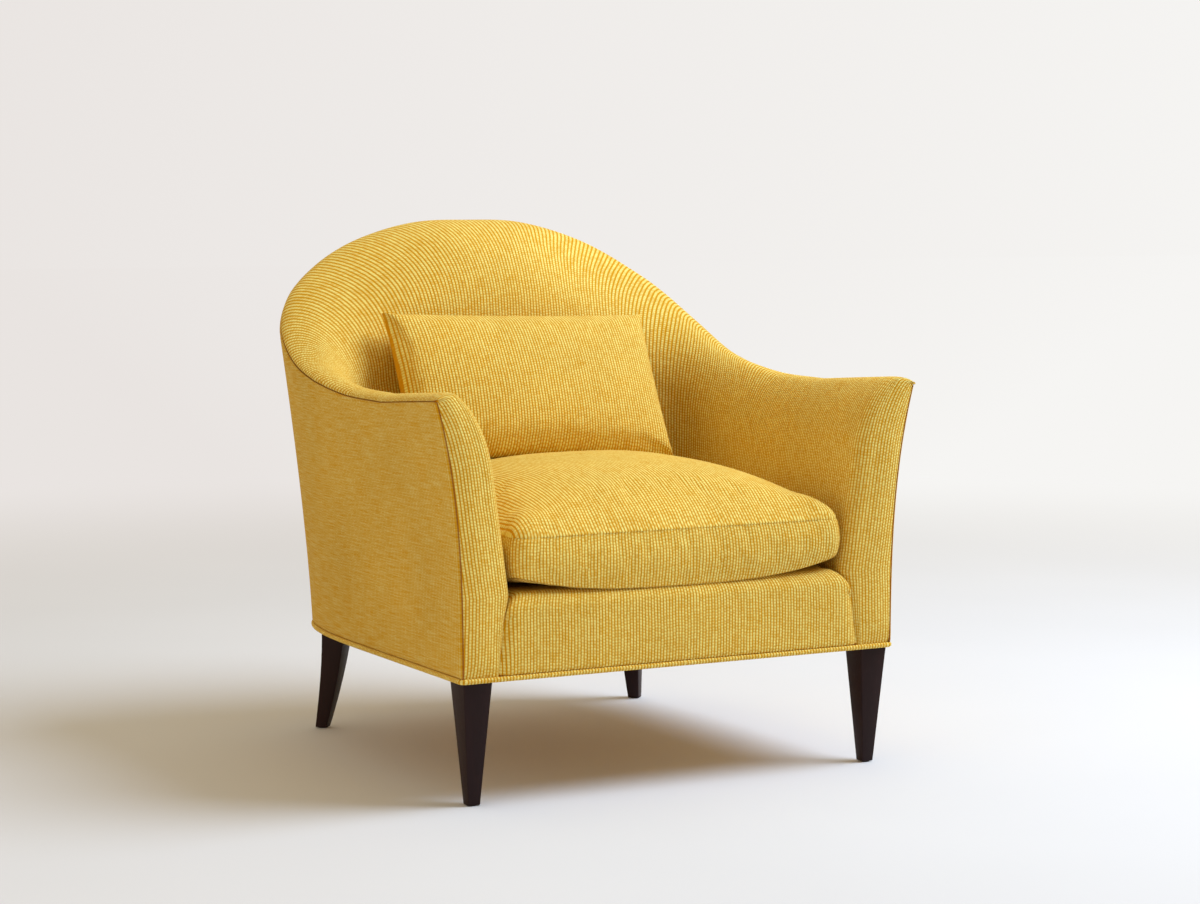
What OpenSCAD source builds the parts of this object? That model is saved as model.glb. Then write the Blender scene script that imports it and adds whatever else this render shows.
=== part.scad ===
// Upholstered lounge chair: a swept tub back that runs down into flared arms,
// a loose boxed seat cushion, a lumbar pillow, square front legs and sabre back legs.
// Millimetres, Z up, the front faces -Y, origin on the floor under the middle of the chair.

/* [Base] */
// Width of the base over its covers
base_w = 744; // [724:4:764]
// Depth of the base from the front cover to the middle of the back
base_depth = 760; // [740:2:768]
// Straight run of the base's sides before they curve round to the back
base_straight = 275; // [240:5:320]
// Height of the base's underside above the floor
base_z = 184; // [160:2:200]
// Height of the seat deck's cover above the floor
deck_z = 309; // [300:1:320]

/* [Back and arms] */
// Width across the top seam, behind the arm tips
top_w = 809; // [790:1:830]
// Extra outward flare of each arm tip
tip_flare = 7; // [0:1:14]
// Depth from the front cover to the top seam at the middle of the back
top_depth = 783; // [770:1:800]
// Straight run of the top seam before it curves round the back
top_straight = 471; // [440:1:500]
// Squareness of the base's plan curve
base_power = 4; // [3.6:0.1:4.6]
// Squareness of the top seam's plan curve
top_power = 3.5; // [3.2:0.1:4.2]
// Height of the top seam at the arm tips
tip_seam_z = 596; // [580:1:610]
// Height of the top seam at the lowest place of the arms
dip_seam_z = 581; // [565:1:595]
// Height of the top seam at the middle of the back
back_seam_z = 835; // [800:1:870]
// Power of the outward sweep up the arm front
arm_sweep = 2.9; // [2.2:0.1:3.4]
// Power of the outward sweep up the back
back_sweep = 1.2; // [1:0.1:1.6]
// Rise of the padded roll above the top seam
crown_up = 13; // [9:1:17]
// Distance of the roll's crown inward from the top seam
crown_in = 25; // [20:1:30]
// Width between the arms at the deck
seat_in_w = 573; // [560:1:586]
// Width between the arms where their rolls start
high_in_w = 626; // [610:1:640]
// Depth from the front cover to the inside back at the deck
seat_in_depth = 553; // [540:1:566]
// Depth from the front cover to the inside back where its roll starts
high_in_depth = 600; // [585:1:612]
// Straight run of the arms' inner sides before they curve round to the back
inner_straight = 330; // [300:1:360]
// Squareness of the plan curve of the inside
inner_power = 5; // [4.4:0.1:6]
// Height of the arm's inner roll
arm_roll = 110; // [95:1:120]
// Height of the back's inner roll
back_roll = 160; // [140:1:180]
// Radius of the soft edge between the arm's front facing and its inner side
facing_r = 26; // [18:1:32]
// Narrowing of the arm front from the deck down to the base
facing_taper = 22; // [12:1:26]

/* [Frame and springing] */
// Thickness of the frame boards
board_t = 27; // [22:1:30]
// Height of the base rails
rail_h = 78; // [60:1:90]
// Height of the arm rails and the crest rail
top_rail_h = 52; // [40:1:70]
// Height of the tacking rails beside and behind the deck
tack_rail_h = 34; // [24:1:40]
// Width of the front posts, front to back
post_d = 58; // [44:1:70]
// Width of a webbing strap
strap_w = 60; // [50:1:70]
// Thickness of the webbing
strap_t = 1.6; // [1.2:0.1:2.4]
// Count of straps from front to back
straps_long = 5; // [4:1:5]
// Count of straps from side to side
straps_cross = 4; // [3:1:5]

/* [Covers and padding] */
// Thickness of the cover fabric with its backing
cover_t = 2; // [1.4:0.1:3]
// Thickness of the card panels behind the outside covers
card_t = 1.5; // [1:0.1:2.5]
// Thickness of the padding over the front of the frame
front_pad_t = 14; // [13:0.5:15]
// Diameter of the covered cord round the bottom of the base
welt_d = 8; // [6:0.5:10]

/* [Seat cushion] */
// Clearance between the cushion's seams and the inside covers
cushion_gap = 4.6; // [4.6:0.2:12]
// Height of the cushion's boxing
boxing_h = 58; // [50:1:80]
// Rise of the cushion's crown above its top seam
cushion_crown = 86; // [60:1:96]
// Drop of the cushion's belly below its bottom seam
cushion_belly = 25; // [20:1:30]
// Sag of the cushion's bottom seam between its corners
cushion_sag = 18; // [0:1:19]
// Further drop of its front edge's middle, over the border's rounded top
cushion_overhang = 11; // [0:1:13]
// Plan radius of the cushion's front corners
cushion_front_r = 24; // [12:1:40]

/* [Lumbar pillow] */
// Width of the pillow
pillow_w = 478; // [440:2:510]
// Height of the pillow
pillow_h = 270; // [240:2:300]
// Thickness of the pillow at its middle
pillow_t = 116; // [80:2:125]
// Lean of the pillow from upright
pillow_lean = 29; // [24:1:34]

/* [Legs] */
// Side of a front leg at its top
front_leg_top = 47; // [40:1:54]
// Side of a front leg at its foot
front_leg_foot = 19; // [16:1:30]
// Side of a back leg at its top
back_leg_top = 42; // [36:1:46]
// Side of a back leg at its foot
back_leg_foot = 19.5; // [16:0.5:28]
// Diagonal sweep of a back leg's foot
back_leg_sweep = 28; // [10:1:40]
// Inset of the legs from the base's covers
leg_inset = 5; // [4.5:0.5:12]
// Diameter of the leg bolts
bolt_d = 8; // [6:1:10]
// Diameter of the glides under the feet
glide_d = 15; // [12:1:16]
// Thickness of the glides under the feet
glide_t = 1.5; // [1:0.1:3]

/* [Hidden] */

fabric = [0.86, 0.68, 0.16];
foam = [0.93, 0.89, 0.74];
beech = [0.80, 0.66, 0.46];
card = [0.62, 0.53, 0.40];
webbing = [0.30, 0.27, 0.22];
lining = [0.12, 0.12, 0.12];
dark_wood = [0.13, 0.07, 0.06];
steel = [0.62, 0.62, 0.63];
nylon = [0.18, 0.18, 0.18];

$fn = 48;

// Clearance between pieces that lie on each other
fit = 0.3;
// Clearance between the curved boards and the layers that lie on them
seat_gap = 0.8;
// Count of flats round the covered cord
welt_sides = 8;
// The front-most and back-most faces are as far from the origin as each other
front_y = -(top_depth - welt_d / 2 * cos(180 / welt_sides)) / 2;
// Clear space between the back of the outside covers and the frame boards
board_in = cover_t + card_t + fit + seat_gap;
// Inner face of the frame boards, inward from the outside covers
board_end = board_in + board_t;
// Back of the inside padding, behind which the straps and linings lie
pad_back = board_end + strap_t + 2 * seat_gap;
// Drop of the top rails below the top seam
rail_drop = 11;
// Front face of the frame
frame_front = cover_t + front_pad_t + 2 * fit;
// Underside of the frame
frame_z = base_z + 2;
// Top of the base rails
rail_top = frame_z + rail_h;
// Underside of the padding that lies over the rails and the straps
over_straps = rail_top + 2 * strap_t + fit;
// Top of the covered cord, where the covers start
welt_top = base_z + welt_d + fit;
// Plan share of the seam between an outside arm and the outside back
cover_split = 0.60;
// Plan share where the inside padding of an arm meets that of the back
pad_split = 0.58;
// Plan shares where the base's side rails and back rail meet the corner blocks
side_rail_end = 0.50;
corner_end = 0.80;
// Plan share where an arm rail meets the crest rail
arm_rail_end = 0.54;
// Half of the joint between two pieces that meet end to end
gap_share = 0.0003;

function lerp(a, b, t) = a + (b - a) * t;
function clamp01(t) = min(1, max(0, t));
function smooth(t) = let(c = clamp01(t)) c * c * (3 - 2 * c);
function steps(a, b, n) = [for (i = [0 : n]) lerp(a, b, i / n)];

// Plan curve of one side, as [half width, straight run, depth, squareness]
base_curve = [base_w / 2, base_straight, base_depth, base_power];
top_curve = [top_w / 2, top_straight, top_depth, top_power];
low_inside = [seat_in_w / 2, inner_straight, seat_in_depth, inner_power];
high_inside = [high_in_w / 2, inner_straight, high_in_depth, inner_power];

// Share of a side that the top seam's straight run takes; other curves keep the same pace
side_share = 0.4;
function share(y) = side_share * y / top_straight;

// Point of a plan curve at share u, as [x, y, outward x, outward y]: a straight run from the
// front, then a quarter of a squared ellipse to the middle of the back
function plan_at(curve, u) =
    let(a = curve[0],
        n = curve[3],
        b = curve[2] - curve[1],
        start = share(curve[1]),
        turn = 90 * (u - start) / (1 - start),
        r = pow(pow(abs(cos(turn)), n) + pow(abs(sin(turn)), n), 1 / n),
        x = abs(cos(turn)) / r,
        y = sin(turn) / r,
        out = [pow(x, n - 1) / a, pow(max(0, y), n - 1) / b])
    u <= start ? [a, u / side_share * top_straight, 1, 0]
    : [a * x, curve[1] + b * y, out[0] / norm(out), out[1] / norm(out)];

// Smooth curve through values at even steps of u, level at both ends
function curve_at(values, u) =
    let(n = len(values) - 1,
        i = min(floor(clamp01(u) * n), n - 1),
        f = clamp01(u) * n - i,
        a = values[abs(i - 1)],
        b = values[i],
        c = values[i + 1],
        d = values[min(i + 2, 2 * n - i - 2)])
    b + ((c - a) * f + (2 * a - 5 * b + 4 * c - d) * f * f + (3 * b - a - 3 * c + d) * f * f * f) / 2;

// Height of the top seam: level along the arm, then a long S up to the back, which has risen
// by these shares at each tenth of the way round
dip_share = 0.182;
rise_shares = [0, 0, 0, 0.01, 0.065, 0.155, 0.34, 0.605, 0.85, 0.98, 1];
function seam_z(u) =
    lerp(lerp(tip_seam_z, dip_seam_z, clamp01(u / dip_share)), back_seam_z, curve_at(rise_shares, u));

// Share of the back's form at u: 0 on the arm, 1 on the back
function backness(u) = smooth((u - 0.34) / 0.42);
// Height where the inner side starts to roll over to the crown
function roll_z(u) = seam_z(u) + crown_up - lerp(arm_roll, back_roll, backness(u));
// Outside of the covers at share u and height z, in plan
function outer_at(u, z) =
    let(low = plan_at(base_curve, u),
        high = plan_at(top_curve, u),
        tip = tip_flare * pow(clamp01(1 - u / 0.2), 2),
        h = clamp01((z - base_z) / (seam_z(u) - base_z)),
        f = pow(h, lerp(arm_sweep, back_sweep, smooth(u / 0.676))))
    [lerp(low[0], high[0] + tip, f), lerp(low[1], high[1], f)];
// Inside of the upholstery at share u and height z, in plan, without its roll
function inner_at(u, z) =
    let(low = plan_at(low_inside, u),
        high = plan_at(high_inside, u),
        f = clamp01((z - deck_z) / (roll_z(u) - deck_z)))
    [lerp(low[0], high[0], f), lerp(low[1], high[1], f)];
// Share of the way from the deck down to the base
function below_deck(z) = clamp01((deck_z - z) / (deck_z - base_z));
// Thickness of the upholstery from the outside cover to the inside cover
function thickness(u, z) = norm(inner_at(u, z) - outer_at(u, z)) - facing_taper * below_deck(z);

// Inward directions of the outside and the inside in plan
function outer_way(u) =
    let(low = plan_at(base_curve, u),
        high = plan_at(top_curve, u),
        way = [low[2] + high[2], low[3] + high[3]])
    -way / norm(way);
function inner_way(u) = let(low = plan_at(low_inside, u)) [-low[2], -low[3]];

// Point w inward from the outside cover at height z; v runs 0 to 2 from the right arm
// front (+X), by the middle of the back at 1, to the left arm front. The way through leaves
// the outside and meets the inside square to each.
function shell(v, w, z) =
    let(u = v <= 1 ? v : 2 - v,
        side = v <= 1 ? 1 : -1,
        p = outer_at(u, z),
        q = inner_at(u, z),
        full = norm(q - p),
        t = w / full,
        way = (q - p) * (3 * t * t - 2 * t * t * t)
            + outer_way(u) * full * (t - 2 * t * t + t * t * t)
            + inner_way(u) * full * (t * t * t - t * t))
    [side * (p[0] + way[0]), p[1] + way[1], z];

// Cross-section of the inside upholstery at u, from the top seam over the roll and down to
// low_z, at depth d below the cover's face and drawn in by pull; a list of [w, z]
rise_angles = [0, 30, 60, 90];
roll_angles = [18, 36, 54, 72, 90];
drops = [0.28, 0.52, 0.76, 1];
tip_drop = 0.15;
low_pull = 0.3;
function section(u, d, pull, low_z) =
    let(seam = seam_z(u),
        up = crown_up - d - tip_drop * (pull - d),
        start = roll_z(u),
        deep = thickness(u, start) - pull)
    [for (a = rise_angles) [crown_in - (crown_in - d) * cos(a), seam + up * sin(a)],
        for (a = roll_angles) [lerp(crown_in, deep, sin(a)), lerp(start, seam + up, cos(a))],
        for (k = drops)
            let(z = lerp(start, low_z, k))
            [thickness(u, z) - d - (pull - d) * lerp(1, low_pull, below_deck(z)), z]];

// Cross-section of the frame side of the padding, with as many points
function inner_section(u, low_z) =
    let(top = seam_z(u) - rail_drop + 2 * seat_gap,
        start = roll_z(u))
    [for (a = rise_angles) [lerp(board_in, crown_in, a / 90), top],
        for (a = roll_angles) [pad_back, lerp(top, start, (a - 18) / 72)],
        for (k = drops) [pad_back, lerp(start, low_z, k)]];

function on_shell(v, pts) = [for (p = pts) shell(v, p[0], p[1])];
function moved_to_y(pts, y) = [for (p = pts) [p[0], y, p[2]]];

// Stations of the rounded arm front, by the angle round its soft edge
front_angles = [0, 30, 60, 90];
function front_y_at(a, d) = facing_r - (facing_r - d) * cos(a);
function front_pull(a, d) = facing_r - (facing_r - d) * sin(a);

// Stations behind the arm front: along the arm, then round the corner and across the back
post_front = share(frame_front);
post_back = share(frame_front + post_d);
// Run behind the soft edge over which the inside cover's bottom rises to the deck
lift_run = 18;
lift_end = share(facing_r + lift_run);
arm_stations = [lift_end, post_back, 0.102, 0.153, 0.204, 0.263, 0.323];
round_stations = [0.37, 0.42, 0.46, 0.50, 0.54, 0.58, 0.62, 0.66, 0.70, 0.75, 0.80, 0.86, 0.93, 1];
half_stations = concat(arm_stations, round_stations);
function mirrored(list) = [for (i = [len(list) - 1 : -1 : 0]) 2 - list[i]];
function through_middle(list) = concat(list, [for (v = mirrored(list)) if (v > 1) v]);
function between(list, a, b) = concat([a], [for (v = list) if (v > a + 0.004 && v < b - 0.004) v], [b]);

// Bottom of the inside cover: down to the cord on the arm front, to the deck behind it
function cover_low_z(u) = lerp(welt_top, deck_z - cover_t, smooth((u - share(facing_r)) / share(lift_run)));

// Solid between two grids of points, with two triangles a cell; closed joins the rows' ends.
// A grid that is even about its middle row is split evenly too.
module grid_solid(face, back, closed = false, even = false) {
    n = len(face);
    m = len(face[0]);
    k = n * m;
    pts = [for (r = face) each r, for (r = back) each r];
    around = closed ? [] : [for (i = [0 : n - 2]) each [
        [i * m, k + i * m, k + (i + 1) * m, (i + 1) * m],
        [i * m + m - 1, (i + 1) * m + m - 1, k + (i + 1) * m + m - 1, k + i * m + m - 1]]];
    ends = [for (j = [0 : m - 2]) each [
        [j, j + 1, k + j + 1, k + j],
        [k - m + j, 2 * k - m + j, 2 * k - m + j + 1, k - m + j + 1]]];
    cells = [for (i = [0 : n - 2], j = [0 : m - 2]) let(q = i * m + j) each even && i >= (n - 1) / 2
        ? [[q + m, q + m + 1, q + 1, q], [k + q + 1, k + q + m + 1, k + q + m, k + q]]
        : [[q, q + m, q + m + 1, q + 1], [k + q, k + q + 1, k + q + m + 1, k + q + m]]];
    tris = [for (q = concat(cells, around, ends)) each [[q[0], q[1], q[2]], [q[0], q[2], q[3]]]];
    polyhedron(pts, [for (t = tris)
        if (norm(cross(pts[t[1]] - pts[t[0]], pts[t[2]] - pts[t[0]])) > 0.001) t], convexity = 8);
}

// Board, panel or strap that follows the shell between two depths and two heights
module shell_board(stations, w0, w1, z_low, z_high, rows = 2, even = false) {
    lows = [for (v = stations) let(u = v <= 1 ? v : 2 - v) z_low(u)];
    highs = [for (v = stations) let(u = v <= 1 ? v : 2 - v) z_high(u)];
    ks = steps(0, 1, rows - 1);
    grid_solid(
        [for (i = [0 : len(stations) - 1]) [for (k = ks) shell(stations[i], w1, lerp(lows[i], highs[i], k))]],
        [for (i = [0 : len(stations) - 1]) [for (k = ks) shell(stations[i], w0, lerp(lows[i], highs[i], k))]],
        even = even);
}

module at_front() {
    translate([0, front_y, 0]) children();
}

// A right-hand piece (+X) drawn on the other side
module left_hand() {
    mirror([1, 0, 0]) children();
}

// Heights that the boards follow
under_top_rail = function(u) seam_z(u) - rail_drop - top_rail_h;
top_rail_top = function(u) seam_z(u) - rail_drop;
rail_top_at = function(u) rail_top;
post_top = function(u) seam_z(u) - rail_drop - top_rail_h - fit;
tack_gap = 6;
tack_low = function(u) rail_top + tack_gap;
tack_high = function(u) rail_top + tack_gap + tack_rail_h;
welt_top_at = function(u) welt_top;
seam_at = function(u) seam_z(u) - fit;
card_edge = 2;
card_low = function(u) welt_top + card_edge;
card_high = function(u) seam_z(u) - rail_drop - card_edge / 2;
frame_z_at = function(u) frame_z;

// Over-run of a cut past the face that it starts from
cut_over = 1;

// Plan shares of the back post's two edges
back_post_front = 0.58;
back_post_back = 0.66;

// Base rails
module front_rail() {
    at_front() color(beech)
        translate([-(base_w / 2 - board_end - fit), frame_front, frame_z])
            cube([base_w - 2 * (board_end + fit), board_t, rail_h]);
}

// Plan points of the base, w inward from its cover over the rails' height, between two shares
function base_edge(w, u0, u1) = [for (v = between(half_stations, u0, u1))
    let(p = shell(v, w, frame_z), q = shell(v, w, rail_top))
    [min(p[0], q[0]), min(p[1], q[1])]];
function reversed(list) = [for (i = [len(list) - 1 : -1 : 0]) list[i]];
function other_side(list) = [for (p = reversed(list)) [-p[0], p[1]]];
function without_last(list) = [for (i = [0 : len(list) - 2]) list[i]];

module side_rail() {
    start = post_back + gap_share;
    end = side_rail_end - gap_share;
    at_front() color(beech) translate([0, 0, frame_z]) linear_extrude(rail_h)
        polygon(concat(base_edge(board_in, start, end), reversed(base_edge(board_end, start, end))));
}
module side_rail_right() { side_rail(); }
module side_rail_left() { left_hand() side_rail(); }

// Solid block that fills the curved back corner of the base and carries the back leg
module back_corner_block() {
    start = side_rail_end + gap_share;
    end = corner_end - gap_share;
    inside = base_edge(board_end, start, end);
    at_front() color(beech) difference() {
        translate([0, 0, frame_z]) linear_extrude(rail_h)
            polygon(concat(base_edge(board_in, start, end), [inside[len(inside) - 1], inside[0]]));
        translate([back_leg_x, back_leg_y, frame_z - cut_over])
            cylinder(d = bolt_d + fit, h = bolt_up + cut_over + fit);
    }
}
module back_corner_block_right() { back_corner_block(); }
module back_corner_block_left() { left_hand() back_corner_block(); }

// Curved rail between the two back corner blocks
module back_rail() {
    outside = base_edge(board_in, corner_end + gap_share, 1);
    inside = base_edge(board_end, corner_end + gap_share, 1);
    at_front() color(beech) translate([0, 0, frame_z]) linear_extrude(rail_h)
        polygon(concat(outside, other_side(without_last(outside)),
            reversed(other_side(inside)), reversed(without_last(inside))));
}

// Glued triangular blocks behind the front corners
block_side = 74;
block_h = 40;
module front_corner_blocks() {
    at_front() color(beech) for (side = [-1, 1]) scale([side, 1, 1])
        translate([base_w / 2 - board_end - 2 * fit, frame_front + board_t + fit, frame_z])
            linear_extrude(block_h) polygon([[0, 0], [-block_side, 0], [0, block_side]]);
}

// Front posts, from the base to the arm rail, bored for the leg bolt
module front_post() {
    difference() {
        shell_board(between(half_stations, post_front, post_back), board_in, board_end,
            frame_z_at, post_top, 9);
        translate([front_bolt_x, front_leg_y, frame_z - cut_over])
            cylinder(d = bolt_d + fit, h = bolt_up + cut_over + fit);
    }
}
module front_post_right() { at_front() color(beech) front_post(); }
module front_post_left() { at_front() color(beech) left_hand() front_post(); }

// Back posts, from the corner blocks to the crest rail, curved with the back
module back_post() {
    shell_board(between(half_stations, back_post_front, back_post_back), board_in, board_end,
        rail_top_at, post_top, 8);
}
module back_post_right() { at_front() color(beech) back_post(); }
module back_post_left() { at_front() color(beech) left_hand() back_post(); }

// Top rails: one along each arm and a curved one round the back
module arm_rail() {
    shell_board(between(half_stations, post_front, arm_rail_end - gap_share), board_in, board_end,
        under_top_rail, top_rail_top);
}
module arm_rail_right() { at_front() color(beech) arm_rail(); }
module arm_rail_left() { at_front() color(beech) left_hand() arm_rail(); }
module crest_rail() {
    at_front() color(beech)
        shell_board(through_middle(between(half_stations, arm_rail_end + gap_share, 1)), board_in, board_end,
            under_top_rail, top_rail_top, even = true);
}

// Tacking rails at the deck's height, which the inside covers are pulled under
module arm_tack_rail() {
    shell_board(between(half_stations, post_back + gap_share, back_post_front - gap_share),
        board_in, board_end, tack_low, tack_high);
}
module arm_tack_rail_right() { at_front() color(beech) arm_tack_rail(); }
module arm_tack_rail_left() { at_front() color(beech) left_hand() arm_tack_rail(); }
module back_tack_rail() {
    at_front() color(beech)
        shell_board(through_middle(between(half_stations, back_post_back + gap_share, 1)),
            board_in, board_end, tack_low, tack_high);
}

// Elastic straps of the seat, over the rails' tops
strap_in = 5;
strap_back_in = 30;
strap_front = frame_front + strap_in;
strap_end = base_depth - board_in - strap_back_in;
cross_first = frame_front + post_d + 20;
cross_last = base_straight + 150;
module seat_straps_long() {
    pitch = (seat_in_w - 2 * strap_w) / (straps_long - 1);
    at_front() color(webbing) for (i = [0 : straps_long - 1])
        translate([(i - (straps_long - 1) / 2) * pitch - strap_w / 2, strap_front, rail_top])
            cube([strap_w, strap_end - strap_front, strap_t]);
}
module seat_straps_cross() {
    pitch = (cross_last - cross_first) / (straps_cross - 1);
    reach = base_w / 2 - board_in - strap_in;
    at_front() color(webbing) for (i = [0 : straps_cross - 1])
        translate([-reach, cross_first + i * pitch, rail_top + strap_t]) cube([2 * reach, strap_w, strap_t]);
}

// Elastic straps of the back, round the inside of its posts and rails; a high one starts
// where the crest rail has risen above it
back_strap_count = 4;
back_strap_pitch = 96;
back_strap_low = rail_top + 80;
function strap_start(z) =
    [for (u = half_stations) if (u > back_post_front + gap_share && top_rail_top(u) > z + strap_in) u][0];
module back_straps() {
    at_front() color(webbing) for (i = [0 : back_strap_count - 1]) {
        low = back_strap_low + i * back_strap_pitch;
        shell_board(through_middle(between(half_stations, strap_start(low + strap_w), 1)),
            board_end + seat_gap, board_end + seat_gap + strap_t,
            function(u) low, function(u) low + strap_w);
    }
}

// Woven linings over the open insides of the arms
module arm_lining() {
    shell_board(between(half_stations, arm_stations[0], back_post_front), board_end + seat_gap,
        board_end + seat_gap + strap_t, tack_low, top_rail_top, 9);
}
module arm_lining_right() { at_front() color(webbing) arm_lining(); }
module arm_lining_left() { at_front() color(webbing) left_hand() arm_lining(); }

// Card panels behind the outside covers, in as many steps up as these
outside_rows = 8;
module outside_arm_card() {
    shell_board(between(half_stations, post_front, cover_split - gap_share), cover_t + fit,
        cover_t + fit + card_t, card_low, card_high, outside_rows + 1);
}
module outside_arm_card_right() { at_front() color(card) outside_arm_card(); }
module outside_arm_card_left() { at_front() color(card) left_hand() outside_arm_card(); }
module outside_back_card() {
    at_front() color(card)
        shell_board(through_middle(between(half_stations, cover_split + gap_share, 1)), cover_t + fit,
            cover_t + fit + card_t, card_low, card_high, outside_rows + 1, even = true);
}

// Outside covers, mitred to the facing at the arm front
module outside_arm_cover() {
    stations = between(concat([share(facing_r)], half_stations), share(cover_t), cover_split - gap_share);
    z_at = function(u, k) lerp(welt_top, seam_z(u) - fit, k);
    rows = steps(0, 1, outside_rows);
    face = [for (k = rows) shell(0, 0, z_at(0, k))];
    back = [for (k = rows) shell(share(cover_t), cover_t, z_at(share(cover_t), k))];
    grid_solid(
        concat([back], [for (v = stations) [for (k = rows) shell(v, cover_t, z_at(v, k))]]),
        concat([face], [for (v = stations) [for (k = rows) shell(v, 0, z_at(v, k))]]));
}
module outside_arm_cover_right() { at_front() color(fabric) outside_arm_cover(); }
module outside_arm_cover_left() { at_front() color(fabric) left_hand() outside_arm_cover(); }
module outside_back_cover() {
    at_front() color(fabric)
        shell_board(through_middle(between(half_stations, cover_split + gap_share, 1)), 0, cover_t,
            welt_top_at, seam_at, outside_rows + 1, even = true);
}

// Rows of the inside upholstery at depth d: the facing, its soft edge, then every station
function facing_row(d) =
    let(cut = section(0, d, front_pull(0, d), welt_top))
    [for (p = cut) shell(0, lerp(d, p[0], 0.02), min(p[1], seam_z(0)))];
function front_rows(d) = concat(
    [moved_to_y(facing_row(d), d)],
    [for (a = front_angles) moved_to_y(on_shell(share(front_y_at(a, d)),
        section(share(front_y_at(a, d)), d, front_pull(a, d), welt_top)), front_y_at(a, d))]);
function side_rows(d, stations) = [for (v = stations) let(u = v <= 1 ? v : 2 - v)
    on_shell(v, section(u, d, d, cover_low_z(u)))];
function flipped(rows) = [for (i = [len(rows) - 1 : -1 : 0]) [for (p = rows[i]) [-p[0], p[1], p[2]]]];

// Room of the front rail and its post, kept clear of the covers and padding in front of them
module frame_room() {
    translate([-base_w / 2, frame_front - fit, 0]) cube([base_w, post_d, over_straps]);
}

// The cover of the facings, the arms' insides and the back, in one run round the chair
module inside_cover() {
    stations = through_middle(half_stations);
    rows = function(d) concat(front_rows(d), side_rows(d, stations), flipped(front_rows(d)));
    at_front() color(fabric) difference() {
        grid_solid(rows(0), rows(cover_t), even = true);
        frame_room();
    }
}

// Foam and wadding of an arm, in front of the front post, beside it and over the arm rail
pad_d = cover_t + fit;
function pad_row(v) = let(u = v <= 1 ? v : 2 - v) on_shell(v, inner_section(u, cover_low_z(u)));
module arm_pad() {
    stations = between(half_stations, lift_end, pad_split - gap_share);
    gap = frame_front - fit;
    edge = moved_to_y([for (p = inner_section(0, welt_top)) shell(0, min(p[0], board_in), p[1])], gap);
    front = [for (a = front_angles)
        moved_to_y(pad_row(share(front_y_at(a, pad_d))), lerp(gap, facing_r, a / 90))];
    difference() {
        grid_solid(
            concat(front_rows(pad_d), side_rows(pad_d, stations)),
            concat([edge], front, [for (v = stations) pad_row(v)]));
        frame_room();
    }
}
module arm_pad_right() { at_front() color(foam) arm_pad(); }
module arm_pad_left() { at_front() color(foam) left_hand() arm_pad(); }

// Foam and wadding of the back
module back_pad() {
    stations = through_middle(between(half_stations, pad_split + gap_share, 1));
    at_front() color(foam)
        grid_solid(side_rows(pad_d, stations), [for (v = stations) pad_row(v)], even = true);
}

// Front border: rounded padding over the front rail with its cover, between the facings
border_r = 24;
corner_r = 22;
border_slant = 2;
border_behind = 28;
border_back = frame_front + board_t + border_behind;
border_top = seat_in_w / 2 + 4 * fit;
border_low = seat_in_w / 2 + facing_taper - 4 * fit;
border_top_spread = 13;
border_low_spread = 3.5;
function quarter(cx, cy, r, a0, a1, n) = [for (a = steps(a0, a1, n)) [cx + r * cos(a), cy + r * sin(a)]];
// Outline of the border at the angle round its rounded top edge, 90 at its front face; the
// sides draw in behind it to stay inside the facings' soft edges
function border_cut(d, a) =
    let(y = border_r - (border_r - d) * sin(a),
        z = deck_z - d - (border_r - d) * (1 - cos(a)),
        spread = pow(sin(a), 2),
        x = border_top + border_top_spread * spread - d,
        low = border_low + border_low_spread * spread - d,
        half = concat([[low, welt_top], [x + border_slant, z - corner_r - 6]],
            quarter(x - corner_r, z - corner_r, corner_r, 0, 90, 6)))
    [for (p = concat(half, other_side(half))) [p[0], y, p[1]]];
function border_rows(d) =
    let(cuts = [for (a = [90, 75, 60, 45, 30, 15, 0]) border_cut(d, a)],
        foot = [for (p = cuts[0]) [p[0], p[1], welt_top]])
    concat([foot], cuts, [moved_to_y(cuts[len(cuts) - 1], border_back)]);
module front_border_cover() {
    at_front() color(fabric) difference() {
        grid_solid(border_rows(cover_t), border_rows(0));
        frame_room();
    }
}
module front_border_pad() {
    rows = border_rows(cover_t + fit);
    at_front() color(foam) difference() {
        grid_solid([for (r = rows) [for (p = r) [p[0], p[1], welt_top]]], rows);
        frame_room();
    }
}

// Plan of the deck inside the padding, at a clearance from the inside cover
function deck_plan(gap) =
    let(z = deck_z,
        stations = through_middle(between(half_stations, share(border_back + fit), 1)))
    [for (v = stations) let(u = v <= 1 ? v : 2 - v, p = shell(v, thickness(u, z) + gap, z)) [p[0], p[1]]];
module deck_pad() {
    at_front() color(foam) translate([0, 0, over_straps])
        linear_extrude(deck_z - cover_t - fit - over_straps) polygon(deck_plan(2 * fit));
}
module deck_cover() {
    at_front() color(fabric) translate([0, 0, deck_z - cover_t]) linear_extrude(cover_t)
        polygon(deck_plan(2 * fit));
}

// Black woven cover under the base, cut round the legs
dust_t = 1;
dust_in = welt_d / 2 + 1;
leg_room = 1;
module dust_cover() {
    edge = base_edge(dust_in, share(dust_in), 1);
    hole_h = 4 * dust_t;
    at_front() color(lining) difference() {
        translate([0, 0, frame_z - dust_t - fit]) linear_extrude(dust_t)
            polygon(concat(edge, other_side(without_last(edge))));
        for (side = [-1, 1]) {
            translate([side * front_leg_x, front_leg_y, frame_z - dust_t])
                cube([front_leg_top + 2 * leg_room, front_leg_top + 2 * leg_room, hole_h], center = true);
            translate([side * back_leg_x, back_leg_y, frame_z - dust_t]) rotate([0, 0, -side * back_leg_turn])
                cube([back_leg_top + 2 * leg_room, back_leg_top + 2 * leg_room, hole_h], center = true);
        }
    }
}

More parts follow.
